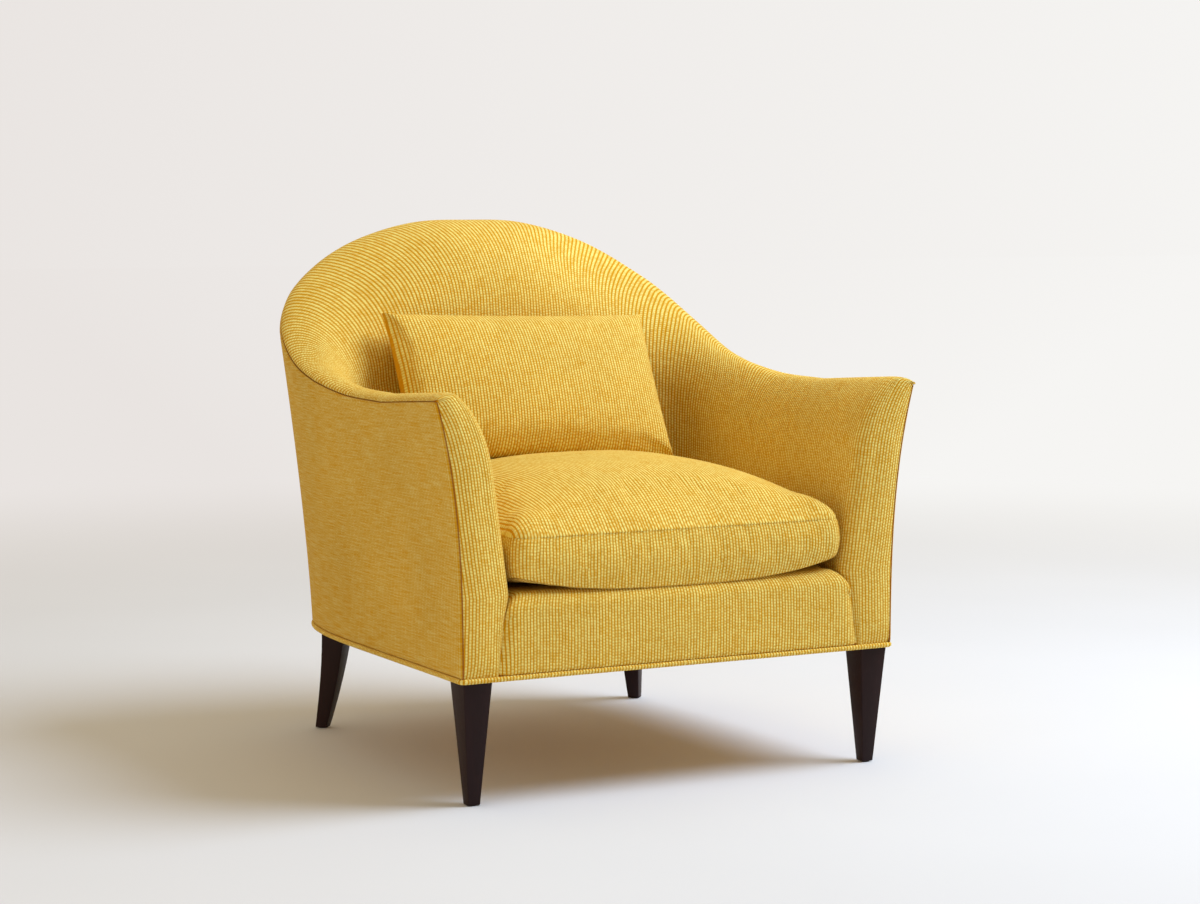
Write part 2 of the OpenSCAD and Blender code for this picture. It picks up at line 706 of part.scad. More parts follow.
// Covered cord all round the bottom edge of the base, as one closed tube
welt_corner_r = 7;
welt_steps = 26;
module base_welt() {
    r = welt_corner_r;
    half = concat([[0, 0], [base_w / 4, 0]],
        [for (a = steps(-90, 0, 4)) [base_w / 2 - r + r * cos(a), r + r * sin(a)]],
        [for (u = steps(share(base_straight), 1, welt_steps)) let(p = plan_at(base_curve, u)) [p[0], p[1]]]);
    path = concat(half, [for (i = [len(half) - 2 : -1 : 1]) [-half[i][0], half[i][1]]]);
    n = len(path);
    rings = [for (i = [0 : n - 1])
        let(along = path[(i + 1) % n] - path[(i + n - 1) % n],
            out = [along[1], -along[0]] / norm(along))
        for (k = [0 : welt_sides - 1])
            let(a = 360 * (k + 0.5) / welt_sides, q = path[i] + out * cos(a) * welt_d / 2)
            [q[0], q[1], base_z + welt_d / 2 + welt_d / 2 * sin(a) / cos(180 / welt_sides)]];
    quads = [for (i = [0 : n - 1], k = [0 : welt_sides - 1])
        let(j = (i + 1) % n, m = (k + 1) % welt_sides, c = welt_sides)
        [i * c + k, i * c + m, j * c + m, j * c + k]];
    at_front() color(fabric)
        polyhedron(rings, [for (q = quads) each [[q[0], q[1], q[2]], [q[0], q[2], q[3]]]], convexity = 8);
}

// Legs, held by bolts that run up into the posts and corner blocks
bolt_up = 46;
bolt_down = 44;
front_leg_x = base_w / 2 - leg_inset - front_leg_top / 2;
front_leg_y = leg_inset + front_leg_top / 2;
// The front bolt stands in the middle of its post
front_bolt_x = base_w / 2 - board_in - board_t / 2;

edge_r = 1.6;
slice_t = 0.2;
module leg_slice(side) {
    linear_extrude(slice_t) offset(r = edge_r, $fn = 16) square(side - 2 * edge_r, center = true);
}
module leg_front() {
    difference() {
        hull() {
            translate([front_leg_x, front_leg_y, frame_z - slice_t]) leg_slice(front_leg_top);
            translate([front_leg_x, front_leg_y, glide_t]) leg_slice(front_leg_foot);
        }
        translate([front_bolt_x, front_leg_y, frame_z - bolt_down - fit])
            cylinder(d = bolt_d + fit, h = bolt_down + cut_over);
        translate([front_leg_x, front_leg_y, glide_t - cut_over])
            cylinder(d = nail_d + fit, h = nail_h + cut_over + fit);
    }
}
module leg_front_right() { at_front() color(dark_wood) leg_front(); }
module leg_front_left() { at_front() color(dark_wood) left_hand() leg_front(); }

// Back leg: a square sabre leg set at the corner's diagonal, its foot swept outward; k = 0 at
// the foot, 1 at the top
back_leg_turn = 45;
corner_share = 0.525;
corner_room = 2.5;
corner_at = plan_at(base_curve, lerp(share(base_straight), 1, corner_share));
back_leg_in = leg_inset + back_leg_top / 2 + corner_room;
back_leg_x = corner_at[0] - corner_at[2] * back_leg_in;
back_leg_y = corner_at[1] - corner_at[3] * back_leg_in;
foot_dx = back_leg_sweep * sin(back_leg_turn);
foot_dy = back_leg_sweep * cos(back_leg_turn);
sweep_power = 1.55;
taper_power = 0.9;
function sabre_y(k) = back_leg_sweep * pow(1 - k, sweep_power);
function sabre_half(k) = lerp(back_leg_foot, back_leg_top, pow(k, taper_power)) / 2;
leg_steps = 9;
module leg_back() {
    ks = steps(0, 1, leg_steps);
    z_at = function(k) lerp(glide_t, frame_z, k);
    front = [for (k = ks) [sabre_y(k) - sabre_half(k), z_at(k)]];
    back = [for (k = reversed(ks)) [sabre_y(k) + sabre_half(k), z_at(k)]];
    sides = concat([for (k = ks) [-sabre_half(k), z_at(k)]],
        [for (k = reversed(ks)) [sabre_half(k), z_at(k)]]);
    reach = back_leg_sweep + back_leg_top;
    difference() {
        rotate([0, 0, -back_leg_turn]) intersection() {
            translate([-back_leg_top, 0, 0]) rotate([90, 0, 90]) linear_extrude(2 * back_leg_top)
                polygon(concat(front, back));
            translate([0, reach, 0]) rotate([90, 0, 0]) linear_extrude(2 * reach) polygon(sides);
        }
        translate([0, 0, frame_z - bolt_down - fit]) cylinder(d = bolt_d + fit, h = bolt_down + cut_over);
        translate([foot_dx, foot_dy, glide_t - cut_over])
            cylinder(d = nail_d + fit, h = nail_h + cut_over + fit);
    }
}
module leg_back_right() {
    at_front() color(dark_wood) translate([back_leg_x, back_leg_y, 0]) leg_back();
}
module leg_back_left() {
    at_front() color(dark_wood) left_hand() translate([back_leg_x, back_leg_y, 0]) leg_back();
}

module leg_bolts() {
    at_front() color(steel) for (side = [-1, 1]) {
        translate([side * front_bolt_x, front_leg_y, frame_z - bolt_down])
            cylinder(d = bolt_d, h = bolt_down + bolt_up);
        translate([side * back_leg_x, back_leg_y, frame_z - bolt_down])
            cylinder(d = bolt_d, h = bolt_down + bolt_up);
    }
}

// Nailed nylon glides
nail_d = 3;
nail_h = 14;
module glide() {
    cylinder(d = glide_d, h = glide_t);
    cylinder(d = nail_d, h = glide_t + nail_h);
}
module foot_glides() {
    at_front() color(nylon) for (side = [-1, 1]) {
        translate([side * front_leg_x, front_leg_y, 0]) glide();
        translate([side * (back_leg_x + foot_dx), back_leg_y + foot_dy, 0]) glide();
    }
}

// Plan outline of the seat cushion, all round from the middle of its front: the inside of the
// chair less a clearance, with rounded front corners
cushion_front = welt_d / 2;
cushion_half_w = seat_in_w / 2 - cushion_gap;
cushion_back = seat_in_depth - cushion_gap;
cushion_low = deck_z + fit + cushion_belly;
function cushion_outline(inset) =
    let(x = cushion_half_w - inset,
        y0 = cushion_front + inset,
        rf = cushion_front_r - inset,
        curve = [x, inner_straight, cushion_back - inset, inner_power],
        start = share(inner_straight),
        half = concat([for (k = [1 / 3, 2 / 3]) [lerp(0, x - rf, k), y0]],
            quarter(x - rf, y0 + rf, rf, -90, 0, 3),
            [for (k = [1 / 3, 2 / 3]) [x, lerp(y0 + rf, inner_straight, k)]],
            [for (u = steps(start, 1, 9)) let(p = plan_at(curve, u)) [p[0], p[1]]]))
    concat([[0, y0]], half, [for (i = [len(half) - 2 : -1 : 0]) [-half[i][0], half[i][1]]], [[0, y0]]);

// Outline scaled about the middle of the cushion and set at a height given by the place
cushion_mid = (cushion_front + cushion_back) / 2;
cushion_half_d = (cushion_back - cushion_front) / 2;
// Distance from the middle that runs from a soft square's level lines to the outline's own
function dome_at(p, r) =
    let(x = abs(p[0]) / cushion_half_w,
        y = abs(p[1] - cushion_mid) / cushion_half_d)
    lerp(min(1, pow(pow(x, 3) + pow(y, 3), 1 / 3)), r, pow(r, 3));
crown_power = 2.6;
crown_round = 0.68;
function crown_z(r) =
    cushion_low + boxing_h + cushion_crown * pow(max(0, 1 - pow(r, crown_power)), crown_round);
// Drop of the bottom seam between the cushion's corners, by the place on its outline
function seam_drop(p) =
    cushion_sag * (1 - pow(abs(p[0] / cushion_half_w * (p[1] - cushion_mid) / cushion_half_d), 3));
// Share of the overhang at a place on the outline, and its drop at a share of the way out
over_fade = 8;
over_power = 1.5;
over_start = (cushion_mid - border_r) / cushion_half_d;
function front_share(p) = (1 - pow(abs(p[0]) / cushion_half_w, 3))
    * pow(max(0, cushion_mid - p[1]) / cushion_half_d, over_fade);
function overhang(r, p) =
    cushion_overhang * front_share(p) * pow(max(0, (r - over_start) / (1 - over_start)), over_power);
function belly_z(r, p) = cushion_low - lerp(cushion_belly, seam_drop(p), pow(r, 4));
function about_middle(p, r) = [p[0] * r, cushion_mid + (p[1] - cushion_mid) * r];
function cushion_ring(inset, r, z_at, lift = 0, bulge = 0) =
    let(outline = cushion_outline(0),
        inner = cushion_outline(inset))
    [for (i = [0 : len(outline) - 1])
        let(o = outline[i],
            p = about_middle(inner[i], r),
            away = [o[0] / cushion_half_w, (o[1] - cushion_mid) / cushion_half_d])
        [p[0] + bulge * away[0], p[1] + bulge * away[1],
            z_at(r == 0 ? 0 : dome_at(about_middle(o, r), r), o) + lift]];
cushion_rings = [1, 0.965, 0.9, 0.78, 0.6, 0.36, 0];
top_face = function(r, p) crown_z(r);
low_face = function(r, p) belly_z(r, p) - overhang(r, p);

module seat_cushion_top_panel() {
    at_front() color(fabric) grid_solid(
        [for (r = cushion_rings) cushion_ring(0, r, top_face)],
        [for (r = cushion_rings) cushion_ring(0, r, top_face, -cover_t)], closed = true);
}
module seat_cushion_bottom_panel() {
    at_front() color(fabric) grid_solid(
        [for (r = cushion_rings) cushion_ring(0, r, low_face, cover_t)],
        [for (r = cushion_rings) cushion_ring(0, r, low_face)], closed = true);
}
boxing_bulge = 4;
function boxing_rows(inset) = [for (k = steps(0, 1, 4))
    let(z_at = function(r, p)
        lerp(belly_z(1, p) - overhang(1 - 2 * inset / cushion_half_d, p) + cover_t + fit,
            cushion_low + boxing_h - cover_t - fit, k))
    cushion_ring(inset, 1, z_at, 0, boxing_bulge * (1 - pow(2 * k - 1, 2)))];
module seat_cushion_boxing() {
    at_front() color(fabric) grid_solid(boxing_rows(cover_t), boxing_rows(0), closed = true);
}
// The filling keeps straight over the cover's overhang
module seat_cushion_core() {
    under = cover_t + fit;
    core_low = function(r, p) belly_z(r, p);
    at_front() color(foam) grid_solid(
        [for (r = cushion_rings) cushion_ring(under, r, top_face, -under)],
        [for (r = cushion_rings) cushion_ring(under, r, core_low, under)], closed = true);
}

// Lumbar pillow: two panels that meet in a knife edge round a filling
pillow_seam = 1.4;
pillow_draw_w = 0.022;
pillow_draw_h = 0.05;
pillow_x = -3;
pillow_roll = 1.5;
pillow_round = 0.46;
function pillow_half(s, t) =
    lerp(pillow_seam, pillow_t / 2, pow(max(0, (1 - s * s) * (1 - t * t)), pillow_round));
function pillow_pt(s, t, y) = [
    s * pillow_w / 2 * (1 - pillow_draw_w * (1 - t * t)), y,
    t * pillow_h / 2 * (1 - pillow_draw_h * (1 - s * s))];
pillow_s = [-1, -0.94, -0.82, -0.64, -0.4, -0.14, 0.14, 0.4, 0.64, 0.82, 0.94, 1];
pillow_tt = [-1, -0.92, -0.76, -0.5, -0.18, 0.18, 0.5, 0.76, 0.92, 1];
function pillow_grid(across, up, offset, side) = [for (s = across) [for (t = up)
    pillow_pt(s, t, side * max(0, pillow_half(s, t) - offset))]];
function without_ends(list) = [for (i = [1 : len(list) - 2]) list[i]];

// The pillow leans on the inside back at a share of its half height, and its foot stands on
// the cushion's crown, which its round underside meets a little behind the edge
lean_share = 0.76;
lean_height = 0.88;
lean_gap = 1.4;
pillow_settle = 5.05;
pillow_reach = pillow_half(0, lean_share) * cos(pillow_lean)
    + lean_share * pillow_h / 2 * (1 - pillow_draw_h) * sin(pillow_lean);
pillow_y = lerp(seat_in_depth, high_in_depth, lean_height) - pillow_reach - lean_gap;
pillow_foot_y = pillow_y - pillow_h / 2 * sin(pillow_lean);
pillow_z = crown_z(abs(pillow_foot_y - cushion_mid) / cushion_half_d)
    + pillow_h / 2 * cos(pillow_lean) - pillow_settle;
module pillow_place() {
    at_front() translate([pillow_x, pillow_y, pillow_z]) rotate([-pillow_lean, 0, 0])
        rotate([0, pillow_roll, 0]) children();
}
module lumbar_pillow_front_panel() {
    pillow_place() color(fabric) grid_solid(
        pillow_grid(pillow_s, pillow_tt, 0, -1), pillow_grid(pillow_s, pillow_tt, cover_t, -1));
}
module lumbar_pillow_back_panel() {
    pillow_place() color(fabric) grid_solid(
        pillow_grid(pillow_s, pillow_tt, cover_t, 1), pillow_grid(pillow_s, pillow_tt, 0, 1));
}
module lumbar_pillow_core() {
    across = without_ends(pillow_s);
    up = without_ends(pillow_tt);
    pillow_place() color(foam)
        grid_solid(pillow_grid(across, up, cover_t + fit, -1), pillow_grid(across, up, cover_t + fit, 1));
}

front_rail();
back_rail();
side_rail_left();
side_rail_right();
back_corner_block_left();
back_corner_block_right();
front_corner_blocks();
front_post_left();
front_post_right();
back_post_left();
back_post_right();
arm_rail_left();
arm_rail_right();
crest_rail();
arm_tack_rail_left();
arm_tack_rail_right();
back_tack_rail();
seat_straps_long();
seat_straps_cross();
back_straps();
arm_lining_left();
arm_lining_right();
outside_arm_card_left();
outside_arm_card_right();
outside_back_card();
outside_arm_cover_left();
outside_arm_cover_right();
outside_back_cover();
inside_cover();
arm_pad_left();
arm_pad_right();
back_pad();
front_border_pad();
front_border_cover();
deck_pad();
deck_cover();
dust_cover();
base_welt();
leg_front_left();
leg_front_right();
leg_back_left();
leg_back_right();
leg_bolts();
foot_glides();
seat_cushion_core();
seat_cushion_top_panel();
seat_cushion_bottom_panel();
seat_cushion_boxing();
lumbar_pillow_core();
lumbar_pillow_front_panel();
lumbar_pillow_back_panel();
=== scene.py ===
"""Lounge chair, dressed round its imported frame: ribbed yellow covers, a crowned seat cushion,
a lumbar pillow and dark wooden legs. The sizes repeat those of the construction model."""

import math

import bpy
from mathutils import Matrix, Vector


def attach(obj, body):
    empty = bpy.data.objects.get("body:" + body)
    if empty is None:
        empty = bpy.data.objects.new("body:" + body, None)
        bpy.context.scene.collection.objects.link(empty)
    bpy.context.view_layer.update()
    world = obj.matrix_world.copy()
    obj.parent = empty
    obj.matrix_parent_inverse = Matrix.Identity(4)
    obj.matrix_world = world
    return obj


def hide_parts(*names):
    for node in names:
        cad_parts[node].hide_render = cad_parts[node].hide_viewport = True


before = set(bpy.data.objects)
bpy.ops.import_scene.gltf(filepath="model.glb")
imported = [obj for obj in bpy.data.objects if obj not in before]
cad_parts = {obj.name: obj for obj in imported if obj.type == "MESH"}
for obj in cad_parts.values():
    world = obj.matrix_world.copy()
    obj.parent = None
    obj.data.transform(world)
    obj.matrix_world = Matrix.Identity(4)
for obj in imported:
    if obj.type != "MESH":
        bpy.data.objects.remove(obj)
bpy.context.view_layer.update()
MM = 0.001

# Base and seat, in millimetres
BASE_W = 744
BASE_DEPTH = 760
BASE_STRAIGHT = 275
BASE_Z = 184
DECK_Z = 309
# Back and arms
TOP_W = 809
TIP_FLARE = 7
TOP_DEPTH = 783
TOP_STRAIGHT = 471
BASE_POWER = 4
TOP_POWER = 3.5
TIP_SEAM_Z = 596
DIP_SEAM_Z = 581
BACK_SEAM_Z = 835
ARM_SWEEP = 2.9
BACK_SWEEP = 1.2
CROWN_UP = 13
CROWN_IN = 25
SEAT_IN_W = 573
HIGH_IN_W = 626
SEAT_IN_DEPTH = 553
HIGH_IN_DEPTH = 600
INNER_STRAIGHT = 330
INNER_POWER = 5
ARM_ROLL = 110
BACK_ROLL = 160
FACING_R = 26
FACING_TAPER = 22
SIDE_SHARE = 0.4
TIP_SHARE = 0.2
DIP_SHARE = 0.182
ROLL_START = 0.34
ROLL_SPAN = 0.42
SWEEP_END = 0.676
RISE_SHARES = (0, 0, 0, 0.01, 0.065, 0.155, 0.34, 0.605, 0.85, 0.98, 1)
COVER_SPLIT = 0.60
TIP_DROP = 0.15
LOW_PULL = 0.3
# Covers and trim
COVER_T = 2
WELT_D = 8
WELT_CORNER_R = 7
WELT_TOP = BASE_Z + WELT_D + 0.3
TUCK = 4
COVER_LOW = WELT_TOP - TUCK
SEAM_DEEP = 3.4
SEAM_WIDE = 2.2
FAR = 50.0
FACING_BULGE = 4.5
BULGE_RISE = 30
CLOTH_FRAMES = 20
FRONT_Y = -(TOP_DEPTH - WELT_D / 2 * math.cos(math.pi / 8)) / 2
# Front border
BORDER_R = 24
CORNER_R = 22
BORDER_BACK = 71.6
BORDER_TOP = SEAT_IN_W / 2 + 1.2
BORDER_TOP_SPREAD = 13
VALLEY = 7
VALLEY_WIDE = 9
BORDER_SLACK = 0.4
BORDER_BOW = 1.5
DECK_SLACK = 0.6
PAD_BOTTOM = 267.5
# Seat cushion
CUSHION_GAP = 4.6
BOXING_H = 58
CUSHION_CROWN = 86
CUSHION_BELLY = 25
CUSHION_SAG = 18
CUSHION_FRONT_R = 24
CUSHION_OVERHANG = 11
OVER_FADE = 8
OVER_POWER = 1.5
BOXING_BULGE = 4
CUSHION_LOW = DECK_Z + 0.3 + CUSHION_BELLY
CUSHION_FRONT = WELT_D / 2
CUSHION_HALF_W = SEAT_IN_W / 2 - CUSHION_GAP
CUSHION_BACK = SEAT_IN_DEPTH - CUSHION_GAP
CUSHION_MID = (CUSHION_FRONT + CUSHION_BACK) / 2
CUSHION_HALF_D = (CUSHION_BACK - CUSHION_FRONT) / 2
OVER_START = (CUSHION_MID - BORDER_R) / CUSHION_HALF_D
CUSHION_RINGS = 34
CUSHION_RIM = 360
CROWN_POWER = 2.6
CROWN_ROUND = 0.68
CROWN_DRAW = 0.3
BOXING_DRAW = 0.35
TOP_SHIFT = 6 * BOXING_H
# Lumbar pillow
PILLOW_W = 484
PILLOW_H = 274
PILLOW_T = 116
PILLOW_LEAN = math.radians(29)
PILLOW_ROLL = math.radians(1.5)
PILLOW_X = -3
PILLOW_SETTLE = 5.05
LEAN_SHARE = 0.76
LEAN_HEIGHT = 0.88
LEAN_GAP = 1.4
PILLOW_SEAM = 1.4
PILLOW_DRAW_W = 0.022
PILLOW_DRAW_H = 0.05
PILLOW_ROUND = 0.46
# Legs
FRAME_Z = 186
GLIDE_T = 1.5
FRONT_LEG_TOP = 47
FRONT_LEG_FOOT = 19
BACK_LEG_TOP = 42
BACK_LEG_FOOT = 19.5
BACK_LEG_SWEEP = 28
FRONT_LEG_X = 343.5
FRONT_LEG_Y = -361.152
BACK_LEG_X = 279.384
BACK_LEG_Y = 288.376
LEG_EDGE = 1.6
LEG_TAPER = 0.9
LEG_CURVE = 1.55
# Place and direction of the camera
VIEW_FROM = (-2.1029, -4.0338, 0.8864)
VIEW_LENS = 84.66
VIEW_TURN = math.radians(-28.2402)
VIEW_DOWN = math.radians(5.1584)


def lerp(a, b, t):
    return a + (b - a) * t


def clamp(t):
    return min(1.0, max(0.0, t))


def smooth(t):
    c = clamp(t)
    return c * c * (3 - 2 * c)


def steps(a, b, n):
    return [lerp(a, b, i / n) for i in range(n + 1)]


def dist(p, q):
    return math.sqrt(sum((a - b) ** 2 for a, b in zip(p, q)))


def run_of(points):
    """Length along a line of points, at each of them, in metres."""
    runs = [0.0]
    for p, q in zip(points, points[1:]):
        runs.append(runs[-1] + dist(p, q) * MM)
    return runs


# The chair's form

def share(y):
    return SIDE_SHARE * y / TOP_STRAIGHT


BASE_CURVE = (BASE_W / 2, BASE_STRAIGHT, BASE_DEPTH, BASE_POWER)
TOP_CURVE = (TOP_W / 2, TOP_STRAIGHT, TOP_DEPTH, TOP_POWER)
LOW_INSIDE = (SEAT_IN_W / 2, INNER_STRAIGHT, SEAT_IN_DEPTH, INNER_POWER)
HIGH_INSIDE = (HIGH_IN_W / 2, INNER_STRAIGHT, HIGH_IN_DEPTH, INNER_POWER)


def plan_at(curve, u):
    """Place and outward direction on a plan curve: a straight run, then a squared ellipse."""
    half, straight, depth, power = curve
    start = share(straight)
    if u <= start:
        return half, u / SIDE_SHARE * TOP_STRAIGHT, 1.0, 0.0
    turn = math.pi / 2 * (u - start) / (1 - start)
    c, s = abs(math.cos(turn)), abs(math.sin(turn))
    r = (c**power + s**power) ** (1 / power)
    x, y = c / r, s / r
    out = (x ** (power - 1) / half, y ** (power - 1) / (depth - straight))
    size = math.hypot(*out)
    return half * x, straight + (depth - straight) * y, out[0] / size, out[1] / size


def curve_at(values, u):
    """Smooth curve through values at even steps of u, level at both ends."""
    n = len(values) - 1
    i = min(int(clamp(u) * n), n - 1)
    f = clamp(u) * n - i
    a, b, c, d = values[abs(i - 1)], values[i], values[i + 1], values[min(i + 2, 2 * n - i - 2)]
    turn = (2 * a - 5 * b + 4 * c - d) * f * f + (3 * b - a - 3 * c + d) * f**3
    return b + ((c - a) * f + turn) / 2


def seam_z(u):
    start = lerp(TIP_SEAM_Z, DIP_SEAM_Z, clamp(u / DIP_SHARE))
    return lerp(start, BACK_SEAM_Z, curve_at(RISE_SHARES, u))


def roll_z(u):
    return seam_z(u) + CROWN_UP - lerp(ARM_ROLL, BACK_ROLL, smooth((u - ROLL_START) / ROLL_SPAN))


def outer_at(u, z):
    low, high = plan_at(BASE_CURVE, u), plan_at(TOP_CURVE, u)
    tip = TIP_FLARE * clamp(1 - u / TIP_SHARE) ** 2
    h = clamp((z - BASE_Z) / (seam_z(u) - BASE_Z))
    f = h ** lerp(ARM_SWEEP, BACK_SWEEP, smooth(u / SWEEP_END))
    return lerp(low[0], high[0] + tip, f), lerp(low[1], high[1], f)


def inner_at(u, z):
    low, high = plan_at(LOW_INSIDE, u), plan_at(HIGH_INSIDE, u)
    f = clamp((z - DECK_Z) / (roll_z(u) - DECK_Z))
    return lerp(low[0], high[0], f), lerp(low[1], high[1], f)


def below_deck(z):
    return clamp((DECK_Z - z) / (DECK_Z - BASE_Z))


def thickness(u, z):
    return dist(inner_at(u, z), outer_at(u, z)) - FACING_TAPER * below_deck(z)


def shell(v, w, z):
    """The point w inward from the outside cover at height z; v runs from 0 at the right arm
    front by 1 at the middle of the back to 2 at the left arm front."""
    u, side = (v, 1) if v <= 1 else (2 - v, -1)
    p, q = outer_at(u, z), inner_at(u, z)
    base, top, low = plan_at(BASE_CURVE, u), plan_at(TOP_CURVE, u), plan_at(LOW_INSIDE, u)
    out = (base[2] + top[2], base[3] + top[3])
    size = math.hypot(*out)
    full = dist(p, q)
    t = w / full
    cross = 3 * t * t - 2 * t**3
    leave = -full * (t - 2 * t * t + t**3) / size
    meet = -full * (t**3 - t * t)
    x = p[0] + (q[0] - p[0]) * cross + out[0] * leave + low[2] * meet
    y = p[1] + (q[1] - p[1]) * cross + out[1] * leave + low[3] * meet
    return side * x, y, z


def seam_dip(distance):
    """Depth by which a cover draws in beside a seam."""
    return SEAM_DEEP * math.exp(-((max(0.0, distance) / SEAM_WIDE) ** 2))


RISE_ANGLES = [0, 4, 9, 15, 23, 33, 45, 60, 75, 90]
ROLL_ANGLES = [6 * k for k in range(1, 16)]
DROPS = 26


def section(u, pull, low_z):
    """Section of the inside upholstery, from the top seam over the roll down to low_z."""
    seam = seam_z(u)
    up = CROWN_UP - TIP_DROP * pull
    start = roll_z(u)
    deep = thickness(u, start) - pull
    points = []
    for a in RISE_ANGLES:
        s, c = math.sin(math.radians(a)), math.cos(math.radians(a))
        points.append((CROWN_IN - CROWN_IN * c + seam_dip(up * s), seam + up * s))
    for a in ROLL_ANGLES:
        s, c = math.sin(math.radians(a)), math.cos(math.radians(a))
        points.append((lerp(CROWN_IN, deep, s), lerp(start, seam + up, c)))
    for k in range(1, DROPS + 1):
        z = lerp(start, low_z, k / DROPS)
        points.append((thickness(u, z) - pull * lerp(1, LOW_PULL, below_deck(z)), z))
    return points


def crown_gaps(count):
    """Distances of a section's points from the top seam."""
    rise = [CROWN_UP * math.sin(math.radians(a)) for a in RISE_ANGLES]
    return rise + [FAR] * (count - len(rise))


def cover_low_z(u):
    """Height of the inside cover's lower edge: down at the facings, then under the border's
    top corners, then just under the deck's surface."""
    under = lerp(COVER_LOW, DECK_Z - CORNER_R - 2, smooth((u - share(FACING_R)) / share(18)))
    return lerp(under, DECK_Z - COVER_T, smooth((u - share(BORDER_BACK)) / share(8)))


# Making meshes

def deselect():
    if bpy.context.object and bpy.context.object.mode != "OBJECT":
        bpy.ops.object.mode_set(mode="OBJECT")
    bpy.ops.object.select_all(action="DESELECT")


def pick(piece):
    deselect()
    piece.select_set(True)
    bpy.context.view_layer.objects.active = piece


def apply_modifiers(piece):
    pick(piece)
    for modifier in list(piece.modifiers):
        bpy.ops.object.modifier_apply(modifier=modifier.name)


def sewn_grid(name, rows, marks, joined=False, gaps=None):
    """A cloth mesh from rows of points in millimetres, measured from the front cover, with a
    mark in metres for each point; joined sews the last row to the first. The gaps are each
    point's distance from its nearest seam, kept as the seam_gap attribute from which the
    cover cloth paints shade along the seams."""
    n, m = len(rows), len(rows[0])
    places = [(p[0] * MM, (p[1] + FRONT_Y) * MM, p[2] * MM) for row in rows for p in row]
    faces, uvs = [], []
    for i in range(n if joined else n - 1):
        k = (i + 1) % n
        for j in range(m - 1):
            faces.append((i * m + j, k * m + j, k * m + j + 1, i * m + j + 1))
            uvs += [marks[i][j], marks[i + 1][j], marks[i + 1][j + 1], marks[i][j + 1]]
    mesh = bpy.data.meshes.new(name)
    mesh.from_pydata(places, [], faces)
    layer = mesh.uv_layers.new(name="UVMap")
    layer.data.foreach_set("uv", [c for uv in uvs for c in uv])
    seam = mesh.attributes.new("seam_gap", "FLOAT", "POINT")
    near = [gap * MM for row in gaps for gap in row] if gaps else [FAR * MM] * (n * m)
    seam.data.foreach_set("value", near)
    piece = bpy.data.objects.new(name, mesh)
    bpy.context.scene.collection.objects.link(piece)
    return piece


def merge(piece, distance=0.00002):
    pick(piece)
    bpy.ops.object.mode_set(mode="EDIT")
    bpy.ops.mesh.select_all(action="SELECT")
    bpy.ops.mesh.remove_doubles(threshold=distance)
    bpy.ops.mesh.select_all(action="SELECT")
    bpy.ops.mesh.dissolve_degenerate(threshold=0.000001)
    bpy.ops.object.mode_set(mode="OBJECT")


def face_outward(piece):
    pick(piece)
    bpy.ops.object.mode_set(mode="EDIT")
    bpy.ops.mesh.select_all(action="SELECT")
    bpy.ops.mesh.normals_make_consistent(inside=False)
    bpy.ops.object.mode_set(mode="OBJECT")


def turn_faces(piece):
    pick(piece)
    bpy.ops.object.mode_set(mode="EDIT")
    bpy.ops.mesh.select_all(action="SELECT")
    bpy.ops.mesh.flip_normals()
    bpy.ops.object.mode_set(mode="OBJECT")


def back_with_cloth(piece, depth):
    """Gives an open cover its thickness, inward from the face that shows."""
    solid = piece.modifiers.new("cloth", "SOLIDIFY")
    solid.thickness = depth * MM
    solid.offset = -1
    apply_modifiers(piece)


def smooth_faces(piece, angle=60):
    pick(piece)
    bpy.ops.object.shade_smooth_by_angle(angle=math.radians(angle))


def swell(piece, pressure, growth, cap, seam_at):
    """Lets a cover of cloth swell round its filling; no point moves further than the cap, and
    the points that seam_at picks stay in the seam."""
    scene = bpy.context.scene
    before = [vertex.co.copy() for vertex in piece.data.vertices]
    seam = piece.vertex_groups.new(name="seam")
    seam.add([i for i, point in enumerate(before) if seam_at(point)], 1.0, "REPLACE")
    cloth = piece.modifiers.new("cloth", "CLOTH")
    cloth.settings.vertex_group_mass = "seam"
    cloth.settings.quality = 5
    cloth.settings.mass = 0.3
    cloth.settings.tension_stiffness = 12
    cloth.settings.compression_stiffness = 12
    cloth.settings.shear_stiffness = 6
    cloth.settings.bending_stiffness = 0.6
    cloth.settings.shrink_min = -growth
    cloth.settings.use_pressure = True
    cloth.settings.uniform_pressure_force = pressure
    cloth.settings.effector_weights.gravity = 0
    cloth.collision_settings.use_collision = False
    for frame_number in range(1, CLOTH_FRAMES + 1):
        scene.frame_set(frame_number)
    apply_modifiers(piece)
    scene.frame_set(1)
    for vertex, old in zip(piece.data.vertices, before):
        move = vertex.co - old
        if move.length > cap * MM:
            vertex.co = old + move * (cap * MM / move.length)


def finish_piece(piece, material, slot, body, *nodes):
    piece.data.materials.clear()
    piece.data.materials.append(material)
    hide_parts(*nodes)
    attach(piece, body)


# Materials

def srgb(r, g, b):
    def linear(c):
        c = c / 255
        return c / 12.92 if c <= 0.04045 else ((c + 0.055) / 1.055) ** 2.4
    return linear(r), linear(g), linear(b), 1.0


